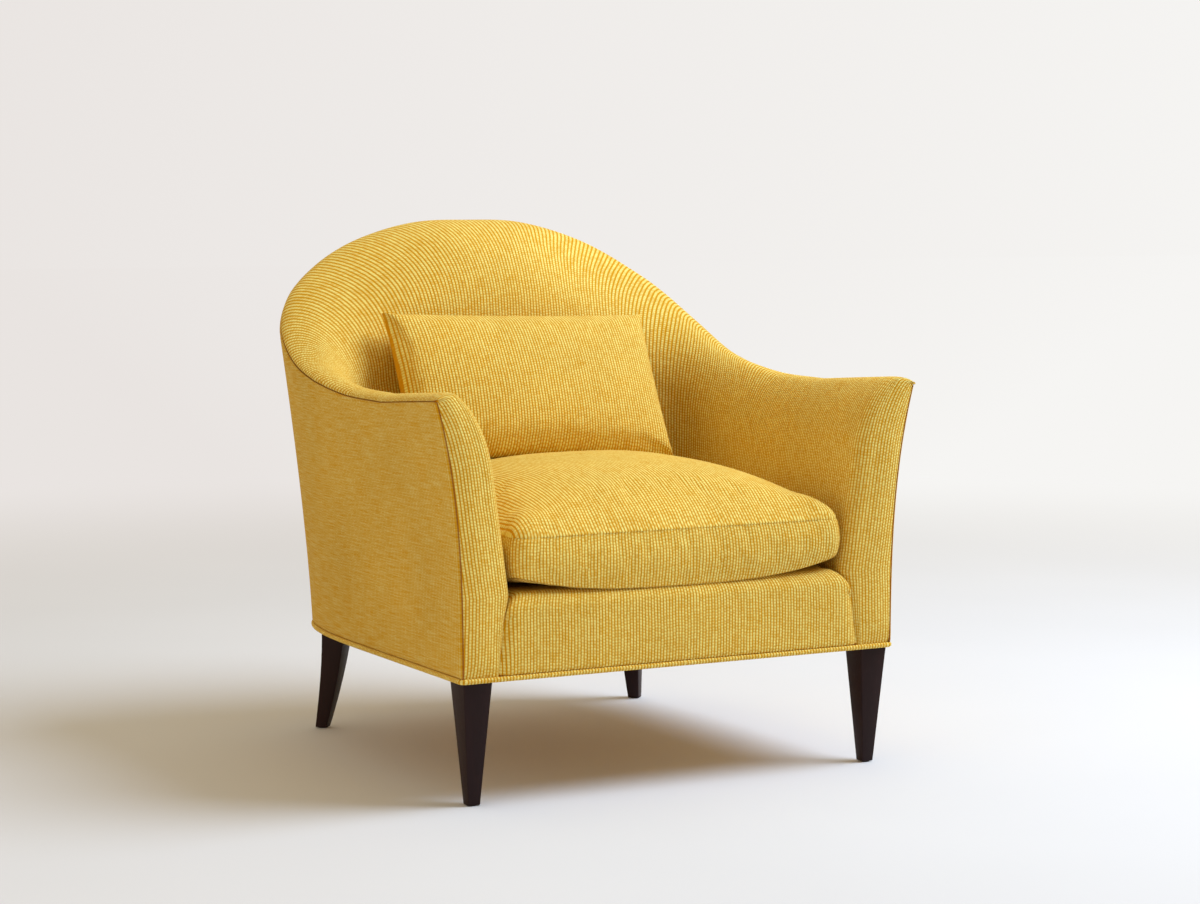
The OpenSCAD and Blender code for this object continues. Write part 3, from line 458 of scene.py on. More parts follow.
class Desk:
    """Places nodes in a tree and joins them, left to right."""

    def __init__(self, tree):
        self.tree = tree
        self.count = 0

    def node(self, kind, **settings):
        made = self.tree.nodes.new(kind)
        self.count += 1
        made.location = (180 * (self.count % 12), -220 * (self.count // 12))
        for name, value in settings.items():
            setattr(made, name, value)
        return made

    def put(self, socket, value):
        if isinstance(value, bpy.types.NodeSocket):
            self.tree.links.new(value, socket)
        elif value is not None:
            socket.default_value = value

    def math(self, operation, a, b=None, c=None, clamp_it=False):
        made = self.node("ShaderNodeMath", operation=operation, use_clamp=clamp_it)
        for socket, value in zip(made.inputs, (a, b, c)):
            self.put(socket, value)
        return made.outputs[0]

    def span(self, value, low, high, to_low=0.0, to_high=1.0, kind="SMOOTHSTEP"):
        made = self.node("ShaderNodeMapRange", interpolation_type=kind)
        for name, v in (("Value", value), ("From Min", low), ("From Max", high),
                        ("To Min", to_low), ("To Max", to_high)):
            self.put(made.inputs[name], v)
        return made.outputs["Result"]

    def wave(self, turns):
        """A smooth wave from 0 to 1, at its top at every whole number of turns."""
        angle = self.math("MULTIPLY", turns, 2 * math.pi)
        return self.math("MULTIPLY_ADD", self.math("COSINE", angle), 0.5, 0.5)

    def noise(self, vector, scale, detail=2.0, rough=0.5):
        made = self.node("ShaderNodeTexNoise")
        self.put(made.inputs["Vector"], vector)
        made.inputs["Scale"].default_value = scale
        made.inputs["Detail"].default_value = detail
        made.inputs["Roughness"].default_value = rough
        return made.outputs["Fac"]

    def vector(self, x, y, z=0.0):
        made = self.node("ShaderNodeCombineXYZ")
        for socket, value in zip(made.inputs, (x, y, z)):
            self.put(socket, value)
        return made.outputs[0]

    def parts(self, vector):
        made = self.node("ShaderNodeSeparateXYZ")
        self.put(made.inputs[0], vector)
        return made.outputs

    def stretch(self, vector, scale):
        made = self.node("ShaderNodeMapping")
        self.put(made.inputs["Vector"], vector)
        made.inputs["Scale"].default_value = scale
        return made.outputs[0]

    def blend(self, factor, a, b, how="MIX"):
        """Mixes two colours; sockets 6 and 7 of the mix node are its colour inputs."""
        made = self.node("ShaderNodeMix", data_type="RGBA", blend_type=how)
        self.put(made.inputs["Factor"], factor)
        self.put(made.inputs[6], a)
        self.put(made.inputs[7], b)
        return made.outputs[2]


def new_group(name, inputs, outputs):
    tree = bpy.data.node_groups.new(name, "ShaderNodeTree")
    for label, kind, value in inputs:
        socket = tree.interface.new_socket(name=label, in_out="INPUT", socket_type=kind)
        if value is not None:
            socket.default_value = value
    for label, kind in outputs:
        tree.interface.new_socket(name=label, in_out="OUTPUT", socket_type=kind)
    desk = Desk(tree)
    return tree, desk, desk.node("NodeGroupInput").outputs, desk.node("NodeGroupOutput").inputs


def ribbed_weave():
    """Ribbed cloth: pale raised ribs over darker grooves, crossed by broken threads."""
    tree, desk, given, result = new_group(
        "ribbed weave",
        [("Vector", "NodeSocketVector", None), ("Rib Pitch", "NodeSocketFloat", 0.0052),
         ("Stitch Pitch", "NodeSocketFloat", 0.0046), ("Waver", "NodeSocketFloat", 0.0007),
         ("Rib Colour", "NodeSocketColor", srgb(243, 229, 136)),
         ("Groove Colour", "NodeSocketColor", srgb(209, 149, 0)),
         ("Contrast", "NodeSocketFloat", 1.6), ("Slub", "NodeSocketFloat", 0.25)],
        [("Color", "NodeSocketColor"), ("Height", "NodeSocketFloat"), ("Roughness", "NodeSocketFloat")])
    at = desk.parts(given["Vector"])
    place = given["Vector"]
    wide = desk.math("SUBTRACT", desk.noise(place, 14.0, 1.0), 0.5)
    fine = desk.math("SUBTRACT", desk.noise(place, 160.0, 1.0), 0.5)
    sway = desk.math("MULTIPLY_ADD", wide, 4.0, fine)
    across = desk.math("MULTIPLY_ADD", sway, given["Waver"], at[0])
    ribs = desk.math("DIVIDE", across, given["Rib Pitch"])
    rib = desk.span(desk.wave(ribs), 0.05, 0.66)
    rib_number = desk.math("ROUND", ribs)
    own = desk.node("ShaderNodeTexWhiteNoise", noise_dimensions="1D")
    desk.put(own.inputs["W"], rib_number)
    along = desk.math("ADD", desk.math("DIVIDE", at[1], given["Stitch Pitch"]), own.outputs["Value"])
    stitch = desk.wave(along)
    loose = desk.node("ShaderNodeTexWhiteNoise", noise_dimensions="2D")
    desk.put(loose.inputs["Vector"], desk.vector(rib_number, desk.math("ROUND", along)))
    yarn = desk.noise(desk.vector(rib_number, desk.math("MULTIPLY", at[1], 26.0)), 1.0, 2.0)
    broad = desk.noise(place, 5.0, 3.0)
    pale = desk.math("MULTIPLY", rib, desk.span(stitch, 0.0, 0.7, 0.55, 1.0))
    pale = desk.math("MULTIPLY", pale, desk.span(loose.outputs["Value"], 0.0, 1.0, 0.62, 1.0, "LINEAR"))
    pale = desk.math("MULTIPLY", pale, desk.span(yarn, 0.3, 0.7, 0.7, 1.1, "LINEAR"))
    pale = desk.math("SUBTRACT", pale, 0.36)
    pale = desk.math("MULTIPLY_ADD", pale, given["Contrast"], 0.38, clamp_it=True)
    thread = desk.vector(desk.math("MULTIPLY", at[0], 22.0), desk.math("MULTIPLY", at[1], 520.0))
    slub = desk.span(desk.noise(thread, 1.0, 2.0), 0.3, 0.7, -0.45, 0.45, "LINEAR")
    pale = desk.math("MULTIPLY_ADD", slub, given["Slub"], pale, clamp_it=True)
    colour = desk.blend(pale, given["Groove Colour"], given["Rib Colour"])
    tone = desk.span(broad, 0.3, 0.7, 0.94, 1.04, "LINEAR")
    grey = desk.vector(tone, tone, tone)
    desk.put(result["Color"], desk.blend(1.0, colour, grey, "MULTIPLY"))
    desk.put(result["Height"], desk.math("MULTIPLY", rib, desk.span(stitch, 0.0, 1.0, 0.55, 1.0)))
    desk.put(result["Roughness"], desk.span(pale, 0.0, 1.0, 0.92, 0.78, "LINEAR"))
    return tree


def wood_grain():
    """Long straight grain with pores, along the piece's own Z or another way by its scale."""
    tree, desk, given, result = new_group(
        "wood grain",
        [("Vector", "NodeSocketVector", None), ("Light", "NodeSocketColor", srgb(60, 34, 30)),
         ("Dark", "NodeSocketColor", srgb(34, 20, 19)), ("Gloss", "NodeSocketFloat", 0.36)],
        [("Color", "NodeSocketColor"), ("Height", "NodeSocketFloat"), ("Roughness", "NodeSocketFloat")])
    bend = desk.noise(given["Vector"], 3.0, 2.0)
    at = desk.parts(given["Vector"])
    ring = desk.math("ADD", desk.math("MULTIPLY", at[0], 90.0), desk.math("MULTIPLY", bend, 9.0))
    band = desk.math("MULTIPLY_ADD", desk.math("SINE", ring), 0.5, 0.5)
    fibre = desk.noise(desk.stretch(given["Vector"], (420.0, 420.0, 14.0)), 1.0, 3.0, 0.6)
    pore = desk.span(desk.noise(desk.stretch(given["Vector"], (900.0, 900.0, 40.0)), 1.0, 1.0), 0.62, 0.74)
    mask = desk.math("MULTIPLY_ADD", band, 0.45, desk.math("MULTIPLY", fibre, 0.6), clamp_it=True)
    desk.put(result["Color"], desk.blend(mask, given["Dark"], given["Light"]))
    desk.put(result["Height"], desk.math("SUBTRACT", desk.math("MULTIPLY", fibre, 0.4), pore))
    desk.put(result["Roughness"], desk.math("MULTIPLY_ADD", fibre, 0.16, given["Gloss"]))
    return tree


RIBBED = ribbed_weave()
GRAIN = wood_grain()


def new_material(name):
    material = bpy.data.materials.new(name)
    material.use_nodes = True
    material.node_tree.nodes.clear()
    desk = Desk(material.node_tree)
    shader = desk.node("ShaderNodeBsdfPrincipled")
    output = desk.node("ShaderNodeOutputMaterial")
    desk.put(output.inputs["Surface"], shader.outputs[0])
    return material, desk, shader


def raise_by(desk, shader, height, distance, strength=1.0):
    bump = desk.node("ShaderNodeBump")
    bump.inputs["Strength"].default_value = strength
    bump.inputs["Distance"].default_value = distance
    desk.put(bump.inputs["Height"], height)
    desk.put(shader.inputs["Normal"], bump.outputs[0])


def place_group(desk, tree, vector, **values):
    made = desk.node("ShaderNodeGroup", node_tree=tree)
    desk.put(made.inputs["Vector"], vector)
    for name, value in values.items():
        made.inputs[name.replace("_", " ")].default_value = value
    return made.outputs


def cover_cloth(name, bump=0.0006, **values):
    """The yellow cover cloth on a piece's own UV marks; along each seam it is darkened to brown, painted
    shade for the seam's groove.
    """
    material, desk, shader = new_material(name)
    marks = desk.node("ShaderNodeUVMap", uv_map="UVMap").outputs[0]
    weave = place_group(desk, RIBBED, marks, **values)
    # Painted shade: within 2.4 mm of a seam the colour darkens towards srgb(176, 128, 84), for the shadow in
    # the seam's groove.
    gap = desk.node("ShaderNodeAttribute", attribute_name="seam_gap").outputs["Fac"]
    beyond_painted_seam_shade = desk.span(gap, 0.0002, 0.0024, 0.0, 1.0)
    shade = desk.blend(beyond_painted_seam_shade, srgb(176, 128, 84), (1.0, 1.0, 1.0, 1.0))
    desk.put(shader.inputs["Base Color"], desk.blend(1.0, weave["Color"], shade, "MULTIPLY"))
    desk.put(shader.inputs["Roughness"], weave["Roughness"])
    shader.inputs["Specular IOR Level"].default_value = 0.15
    shader.inputs["Sheen Weight"].default_value = 0.08
    shader.inputs["Sheen Roughness"].default_value = 0.45
    shader.inputs["Sheen Tint"].default_value = srgb(250, 226, 150)
    raise_by(desk, shader, weave["Height"], bump)
    return material


def wood(name, light, dark, gloss, scale=(1.0, 1.0, 1.0), shine=0.5):
    material, desk, shader = new_material(name)
    place = desk.node("ShaderNodeTexCoord").outputs["Object"]
    grain = place_group(desk, GRAIN, desk.stretch(place, scale), Light=light, Dark=dark, Gloss=gloss)
    desk.put(shader.inputs["Base Color"], grain["Color"])
    desk.put(shader.inputs["Roughness"], grain["Roughness"])
    shader.inputs["Specular IOR Level"].default_value = shine
    raise_by(desk, shader, grain["Height"], 0.0002, 0.5)
    return material


def plain_weave(name, warp, weft, pitch, bump=0.0003):
    """A flat two-thread weave on object coordinates, for webbing and lining."""
    material, desk, shader = new_material(name)
    place = desk.node("ShaderNodeTexCoord").outputs["Object"]
    at = desk.parts(place)
    turns = 2 * math.pi / pitch
    one = desk.math("SINE", desk.math("MULTIPLY", desk.math("ADD", at[0], at[2]), turns))
    two = desk.math("SINE", desk.math("MULTIPLY", desk.math("ADD", at[1], at[2]), turns))
    over = desk.math("MULTIPLY_ADD", desk.math("MULTIPLY", one, two), 0.5, 0.5)
    fuzz = desk.noise(place, 240.0, 2.0)
    mask = desk.math("ADD", desk.math("MULTIPLY", over, 0.7), desk.math("MULTIPLY", fuzz, 0.3))
    desk.put(shader.inputs["Base Color"], desk.blend(mask, warp, weft))
    desk.put(shader.inputs["Roughness"], desk.span(fuzz, 0.3, 0.7, 0.75, 0.95, "LINEAR"))
    raise_by(desk, shader, over, bump)
    return material


def flecked(name, colour, second, rough, metallic=0.0, scale=60.0, bump=0.0001):
    """A flat finish with fine flecks, for card, nylon and steel."""
    material, desk, shader = new_material(name)
    place = desk.node("ShaderNodeTexCoord").outputs["Object"]
    fleck = desk.noise(place, scale, 3.0, 0.6)
    desk.put(shader.inputs["Base Color"], desk.blend(fleck, colour, second))
    desk.put(shader.inputs["Roughness"], desk.span(fleck, 0.3, 0.7, rough, rough + 0.12, "LINEAR"))
    shader.inputs["Metallic"].default_value = metallic
    raise_by(desk, shader, fleck, bump, 0.4)
    return material


COVER = cover_cloth("yellow ribbed cover")
# Painted shade: the same ribbed cloth as the covers, with darker ribs and less contrast, for the outside
# panels.
SHADED_OUTSIDE_CLOTH = cover_cloth("yellow outside cover with painted shade", bump=0.0004, Contrast=0.8, Slub=0.8,
                      Rib_Colour=srgb(224, 203, 116), Groove_Colour=srgb(206, 149, 12))
CORD = cover_cloth("yellow cord cover", bump=0.0008)
DARK_WOOD = wood("dark wood", srgb(44, 22, 22), srgb(26, 12, 13), 0.36, shine=0.16)
BEECH = wood("beech boards", srgb(214, 178, 128), srgb(182, 142, 94), 0.6)
BEECH_ACROSS = wood("beech boards across", srgb(214, 178, 128), srgb(182, 142, 94), 0.6, (0.2, 1.0, 5.0))
WEBBING = plain_weave("webbing", srgb(92, 84, 68), srgb(58, 52, 44), 0.003)
LINING = plain_weave("tan lining", srgb(205, 150, 52), srgb(182, 127, 38), 0.0016, 0.0001)
CARD = flecked("card panel", srgb(168, 146, 112), srgb(140, 118, 88), 0.85)
STEEL = flecked("bolt steel", srgb(178, 178, 180), srgb(150, 150, 154), 0.32, 1.0, 220.0)
NYLON = flecked("nylon glide", srgb(60, 60, 62), srgb(44, 44, 46), 0.5, 0.0, 300.0)


# Upholstered pieces

def inside_upholstery():
    """The facings, the insides of the arms and the inside back, as one continuous cover."""
    soft_edge = math.pi / 2 * FACING_R * MM
    first = section(0, FACING_R, COVER_LOW)
    outer_edge = [(0.0, min(p[1], seam_z(0))) for p in first]
    rows, marks, gaps = [], [], []
    facing_steps = [(k / 14) ** 1.6 for k in range(14)]
    edge_points = [shell(0, p[0], p[1]) for p in first]
    for g in facing_steps:
        row, mark = [], []
        for j, (a, b) in enumerate(zip(outer_edge, first)):
            x, _, z = shell(0, lerp(a[0], b[0], g), lerp(a[1], b[1], g))
            from_seam = outer_at(0, z)[0] - x
            bulge = FACING_BULGE * math.sin(math.pi * g) * smooth((z - WELT_TOP) / BULGE_RISE)
            row.append((x, seam_dip(from_seam) + seam_dip(z - WELT_TOP) - bulge, z))
            mark.append((-soft_edge - dist((x, z), (edge_points[j][0], edge_points[j][2])) * MM, z * MM))
        rows.append(row)
        marks.append(mark)
        gaps.append([min(outer_at(0, p[2])[0] - p[0], max(0.0, p[2] - WELT_TOP)) for p in row])
    for a in [0, 12, 24, 36, 48, 60, 70, 80, 90]:
        c, s = math.cos(math.radians(a)), math.sin(math.radians(a))
        y = FACING_R * (1 - c)
        cut = section(share(y), FACING_R * (1 - s), COVER_LOW)
        row = [(p[0], y, p[2]) for p in (shell(share(y), w, z) for w, z in cut)]
        rows.append(row)
        marks.append([(-soft_edge * (1 - a / 90), p[2] * MM) for p in row])
        gaps.append(crown_gaps(len(row)))
    stations = steps(share(FACING_R + 3), share(FACING_R + 60), 12) + steps(share(FACING_R + 70), 1, 110)
    middle = (DECK_Z + DIP_SEAM_Z) / 2
    before = shell(share(FACING_R), thickness(0, middle), middle)
    along = run_of([before] + [shell(u, thickness(u, middle), middle) for u in stations])[1:]
    for u, run in zip(stations, along):
        row = [shell(u, w, z) for w, z in section(u, 0, cover_low_z(u))]
        rows.append(row)
        down = run_of(row[::-1])[::-1]
        marks.append([(run, row[-1][2] * MM + d) for d in down])
        gaps.append(crown_gaps(len(row)))
    total = marks[-1][0][0]
    other_rows = [[(-p[0], p[1], p[2]) for p in row] for row in rows[-2::-1]]
    other_marks = [[(2 * total - m[0], m[1]) for m in mark] for mark in marks[-2::-1]]
    piece = sewn_grid("inside_upholstery", rows + other_rows, marks + other_marks,
                      gaps=gaps + gaps[-2::-1])
    merge(piece)
    back_with_cloth(piece, COVER_T)
    smooth_faces(piece)
    finish_piece(piece, COVER, "fabric", "chair", "inside_cover", "arm_pad_left", "arm_pad_right", "back_pad")


def outside_panel(name, v0, v1, count, node):
    """An outside cover between two plan shares, drawn in along its top and end seams."""
    rows, marks, gaps = [], [], []
    stations = steps(v0, v1, count)
    edge = 0.012 * (v1 - v0) / 2
    stations = sorted(set(stations + [v0 + edge * k for k in (0.15, 0.35, 0.7)]
                          + [v1 - edge * k for k in (0.15, 0.35, 0.7)]))
    middle = (BASE_Z + DIP_SEAM_Z) / 2
    along = run_of([shell(v, 0, middle) for v in stations])
    for v, run in zip(stations, along):
        u = v if v <= 1 else 2 - v
        top, low = seam_z(u), COVER_LOW
        heights = [low, WELT_TOP, WELT_TOP + 1, WELT_TOP + 2]
        heights += steps(WELT_TOP + 4, top - 9, 40)
        heights += [top - d for d in (6.5, 4.5, 3, 1.8, 0.8, 0)]
        start_gap, end_gap = run / MM, (along[-1] - run) / MM
        gap = [max(0.0, min(top - z, start_gap, end_gap, z - WELT_TOP)) for z in heights]
        rows.append([shell(v, seam_dip(g), z) for g, z in zip(gap, heights)])
        marks.append([(run, z * MM) for z in heights])
        gaps.append(gap)
    piece = sewn_grid(name, rows, marks, gaps=gaps)
    turn_faces(piece)
    back_with_cloth(piece, COVER_T)
    smooth_faces(piece)
    finish_piece(piece, SHADED_OUTSIDE_CLOTH, "fabric", "chair", node)


def facing_x(y, z):
    """Side reach of the opening between the facings, at a depth from their front."""
    pull = FACING_R - math.sqrt(FACING_R**2 - (FACING_R - min(y, FACING_R)) ** 2)
    pull *= lerp(1, LOW_PULL, below_deck(z))
    return shell(share(y), thickness(share(y), z) - pull, z)[0]


def border_cut(angle):
    """Outline of the front border at an angle round its top edge, 90 at its front face. Its
    sides lie in the valley beside the facings."""
    s, c = math.sin(math.radians(angle)), math.cos(math.radians(angle))
    y = BORDER_R - BORDER_R * s
    side_y = VALLEY + (BORDER_R - VALLEY) * (1 - s)
    top = DECK_Z - BORDER_R * (1 - c)
    bottom = COVER_LOW
    shoulder = top - CORNER_R - 6
    half = [(facing_x(side_y, z) - BORDER_SLACK, side_y, z) for z in steps(bottom, shoulder, 20)]
    x = BORDER_TOP + BORDER_TOP_SPREAD * s * s
    for a in steps(0, 90, 10):
        turn, up = math.cos(math.radians(a)), math.sin(math.radians(a))
        z = top - CORNER_R + CORNER_R * up
        edge = lerp(facing_x(side_y, z) - BORDER_SLACK, x, smooth(a / 45))
        half.append((edge - CORNER_R + CORNER_R * turn, lerp(side_y, y, up), z))
    across = [(lerp(half[-1][0], 0, k), y, top) for k in steps(0, 1, 30)]
    half += across[1:]
    return half + [(-p[0], p[1], p[2]) for p in half[-2::-1]]


def front_border():
    """The padded border under the cushion, rounded along its top and into the facings."""
    face = border_cut(90)
    bottom = COVER_LOW
    rows, marks, gaps = [], [], []
    for k in [0, 0.03, 0.04, 0.05, 0.06, 0.08] + steps(0.12, 1, 14)[:-1]:
        heights = [lerp(bottom, p[2], k) for p in face]
        row = []
        for p, z in zip(face, heights):
            edge = facing_x(VALLEY, z) - BORDER_SLACK
            inward = max(0.0, edge - abs(p[0]))
            y = max(VALLEY * math.exp(-((inward / VALLEY_WIDE) ** 2)), seam_dip(z - WELT_TOP))
            x = math.copysign(min(abs(p[0]), edge), p[0])
            row.append((x, y - BORDER_BOW * math.sin(math.pi * k), z))
        rows.append(row)
        marks.append([(p[0] * MM, p[2] * MM) for p in row])
        gaps.append([max(0.0, z - WELT_TOP) for z in heights])
    for angle in [90, 82, 74, 66, 58, 50, 42, 34, 26, 18, 9, 0]:
        rows.append(border_cut(angle))
        arc = BORDER_R * math.radians(90 - angle)
        marks.append([(p[0] * MM, (p[2] + arc) * MM) for p in face])
    rows.append([(p[0], BORDER_BACK, p[2]) for p in rows[-1]])
    marks.append([(m[0], m[1] + (BORDER_BACK - BORDER_R) * MM) for m in marks[-1]])
    gaps += [[FAR] * len(face)] * (len(rows) - len(gaps))
    piece = sewn_grid("front_border", rows, marks, gaps=gaps)
    merge(piece)
    turn_faces(piece)
    back_with_cloth(piece, COVER_T)
    smooth_faces(piece)
    finish_piece(piece, COVER, "fabric", "chair", "front_border_cover", "front_border_pad")


def seat_deck():
    """The sprung deck under the loose cushion."""
    rows, marks = [], []
    corner = share(BORDER_BACK + 0.5)
    front_x, front_y, _ = shell(corner, thickness(corner, DECK_Z) + DECK_SLACK, DECK_Z)
    for k in steps(0, 1, 88):
        v = lerp(corner, 2 - corner, k)
        x, y, _ = shell(v, thickness(min(v, 2 - v), DECK_Z) + DECK_SLACK, DECK_Z)
        start = lerp(front_x, -front_x, k)
        row = [(lerp(start, x, t), lerp(front_y, y, t), DECK_Z) for t in steps(0, 1, 24)]
        rows.append(row)
        marks.append([(p[0] * MM, p[1] * MM) for p in row])
    piece = sewn_grid("seat_deck", rows, marks)
    merge(piece)
    turn_faces(piece)
    back_with_cloth(piece, DECK_Z - PAD_BOTTOM)
    face_outward(piece)
    smooth_faces(piece, 40)
    finish_piece(piece, COVER, "fabric", "chair", "deck_cover", "deck_pad")


def welt_cord():
    """The covered cord round the bottom edge of the base."""
    r = WELT_CORNER_R
    side_end = 110
    half = [(x, 0.0) for x in steps(0, BASE_W / 2 - r, 40)]
    half += [(BASE_W / 2 - r + r * math.cos(a), r + r * math.sin(a))
             for a in steps(-math.pi / 2, 0, 8)][1:]
    half += [(BASE_W / 2, y) for y in steps(r, side_end, 10)][1:]
    half += [plan_at(BASE_CURVE, u)[:2] for u in steps(share(side_end + 10), 1, 80)]
    path = half + [(-p[0], p[1]) for p in half[-2:0:-1]]
    n = len(path)
    run = run_of(path + [path[0]])
    rows, marks = [], []
    sides = 14
    for i in range(n):
        ahead, behind = path[(i + 1) % n], path[i - 1]
        out = (ahead[1] - behind[1], behind[0] - ahead[0])
        size = math.hypot(*out)
        row = []
        for k in range(sides + 1):
            a = 2 * math.pi * k / sides
            reach = math.cos(a) * WELT_D / 2 / size
            row.append((path[i][0] + out[0] * reach, path[i][1] + out[1] * reach,
                        BASE_Z + WELT_D / 2 + WELT_D / 2 * math.sin(a)))
        rows.append(row)
    for i in range(n + 1):
        marks.append([(run[i], WELT_D * math.pi * MM * k / sides) for k in range(sides + 1)])
    piece = sewn_grid("welt_cord", rows, marks, joined=True)
    merge(piece)
    face_outward(piece)
    smooth_faces(piece, 80)
    finish_piece(piece, CORD, "fabric", "chair", "base_welt")


def cushion_outline():
    """Plan outline of the seat cushion, all round from the middle of its front, to the right."""
    x, y0, rf = CUSHION_HALF_W, CUSHION_FRONT, CUSHION_FRONT_R
    curve = (x, INNER_STRAIGHT, CUSHION_BACK, INNER_POWER)
    half = [(v, y0) for v in steps(0, x - rf, 60)]
    half += [(x - rf + rf * math.cos(a), y0 + rf + rf * math.sin(a)) for a in steps(-math.pi / 2, 0, 16)][1:]
    half += [(x, y) for y in steps(y0 + rf, INNER_STRAIGHT, 60)][1:]
    half += [plan_at(curve, u)[:2] for u in steps(share(INNER_STRAIGHT), 1, 160)][1:]
    return half + [(-p[0], p[1]) for p in half[-2:0:-1]]


def spaced(outline, count):
    """Points evenly spaced along a closed outline."""
    loop = outline + [outline[0]]
    run = run_of(loop)
    points, k = [], 0
    for i in range(count):
        m = i / count * run[-1]
        while run[k + 1] < m:
            k += 1
        t = (m - run[k]) / (run[k + 1] - run[k])
        points.append((lerp(loop[k][0], loop[k + 1][0], t), lerp(loop[k][1], loop[k + 1][1], t)))
    return points


def dome_at(p, r):
    x = abs(p[0]) / CUSHION_HALF_W
    y = abs(p[1] - CUSHION_MID) / CUSHION_HALF_D
    return lerp(min(1.0, (x**3 + y**3) ** (1 / 3)), r, r**3)


def crown_z(r):
    return CUSHION_LOW + BOXING_H + CUSHION_CROWN * max(0.0, 1 - r**CROWN_POWER) ** CROWN_ROUND


def seam_drop(p):
    xy = abs(p[0] / CUSHION_HALF_W * (p[1] - CUSHION_MID) / CUSHION_HALF_D)
    return CUSHION_SAG * (1 - xy**3)


def belly_z(r, p):
    side = 1 - (abs(p[0]) / CUSHION_HALF_W) ** 3
    front = max(0.0, CUSHION_MID - p[1]) / CUSHION_HALF_D
    over = max(0.0, (r - OVER_START) / (1 - OVER_START)) ** OVER_POWER
    hang = CUSHION_OVERHANG * side * front**OVER_FADE * over
    return CUSHION_LOW - lerp(CUSHION_BELLY, seam_drop(p), r**4) - hang


def in_boxing_seam(point):
    """Whether a point of the cushion's mesh, in metres, lies on one of its two seams."""
    x, y, z = point.x / MM, point.y / MM - FRONT_Y, point.z / MM
    side = max(abs(x) / CUSHION_HALF_W, abs(y - CUSHION_MID) / CUSHION_HALF_D)
    below = belly_z(1, (x, y))
    return side > 0.97 and (abs(z - CUSHION_LOW - BOXING_H) < 1.2 or abs(z - below) < 1.2)


def cushion_ring(rim, r, z_at):
    row = []
    for o in rim:
        p = (o[0] * r, CUSHION_MID + (o[1] - CUSHION_MID) * r)
        row.append((p[0], p[1], z_at(dome_at(p, r), o, r)))
    return row


def seat_cushion():
    """The loose boxed cushion: crowned top, bellied underside, and a boxing drawn in at its
    two seams."""
    n = CUSHION_RIM
    rim = spaced(cushion_outline(), n)
    run = run_of(rim + [rim[0]])
    ease = [math.sin(math.pi / 2 * k / CUSHION_RINGS) for k in range(CUSHION_RINGS + 1)]

    def top(r_dome, o, r):
        return crown_z(r_dome) - seam_dip((1 - r) * CUSHION_HALF_D) * CROWN_DRAW

    def under(r_dome, o, r):
        return belly_z(r_dome, o) + seam_dip((1 - r) * CUSHION_HALF_D) * CROWN_DRAW

    rows, marks = [], []
    for r in ease:
        rows.append(cushion_ring(rim, r, under))
        marks.append([(p[0] * MM, -p[1] * MM) for p in rows[-1]])
    boxing_marks = []
    for k in steps(0, 1, 12):
        row = []
        for o in rim:
            low, high = belly_z(1, o), CUSHION_LOW + BOXING_H
            z = lerp(low, high, k)
            puff = BOXING_BULGE * (1 - (2 * k - 1) ** 2)
            draw = BOXING_DRAW * (seam_dip(z - low) + seam_dip(high - z))
            away = (o[0] / CUSHION_HALF_W, (o[1] - CUSHION_MID) / CUSHION_HALF_D)
            row.append((o[0] + (puff - draw) * away[0], o[1] + (puff - draw) * away[1], z))
        rows.append(row)
        boxing_marks.append(len(marks))
        marks.append([(run[i], row[i][2] * MM) for i in range(n)])
    for r in ease[::-1]:
        rows.append(cushion_ring(rim, r, top))
        marks.append([(p[0] * MM, (p[1] + TOP_SHIFT) * MM) for p in rows[-1]])
    turned = [[row[i] for row in rows] for i in range(n)]
    turned_marks = [[mark[i] for mark in marks] for i in range(n)]
    last = [mark[0] for mark in marks]
    for k in boxing_marks:
        last[k] = (run[n], last[k][1])
    piece = sewn_grid("seat_cushion", turned, turned_marks + [last], joined=True)
    merge(piece, 0.00005)
    face_outward(piece)
    swell(piece, 3, 0.012, 4, in_boxing_seam)
    smooth_faces(piece, 80)
    finish_piece(piece, COVER, "fabric", "seat_cushion", "seat_cushion_core", "seat_cushion_top_panel",
                 "seat_cushion_bottom_panel", "seat_cushion_boxing")


def pillow_half(s, t):
    full = max(0.0, (1 - s * s) * (1 - t * t))
    return lerp(PILLOW_SEAM, PILLOW_T / 2, full**PILLOW_ROUND)


PILLOW_REACH = (pillow_half(0, LEAN_SHARE) * math.cos(PILLOW_LEAN)
                + LEAN_SHARE * PILLOW_H / 2 * (1 - PILLOW_DRAW_H) * math.sin(PILLOW_LEAN))
PILLOW_Y = lerp(SEAT_IN_DEPTH, HIGH_IN_DEPTH, LEAN_HEIGHT) - PILLOW_REACH - LEAN_GAP
PILLOW_FOOT_Y = PILLOW_Y - PILLOW_H / 2 * math.sin(PILLOW_LEAN)
PILLOW_Z = (crown_z(abs(PILLOW_FOOT_Y - CUSHION_MID) / CUSHION_HALF_D)
            + PILLOW_H / 2 * math.cos(PILLOW_LEAN) - PILLOW_SETTLE)


def pillow_pt(s, t, side):
    """Point of the pillow's front (-1) or back (1) panel, before it is put in its place."""
    x = s * PILLOW_W / 2 * (1 - PILLOW_DRAW_W * (1 - t * t))
    y = side * pillow_half(s, t)
    z = t * PILLOW_H / 2 * (1 - PILLOW_DRAW_H * (1 - s * s))
    x, z = (x * math.cos(PILLOW_ROLL) + z * math.sin(PILLOW_ROLL),
            z * math.cos(PILLOW_ROLL) - x * math.sin(PILLOW_ROLL))
    y, z = (y * math.cos(PILLOW_LEAN) + z * math.sin(PILLOW_LEAN),
            z * math.cos(PILLOW_LEAN) - y * math.sin(PILLOW_LEAN))
    return x + PILLOW_X, y + PILLOW_Y, z + PILLOW_Z


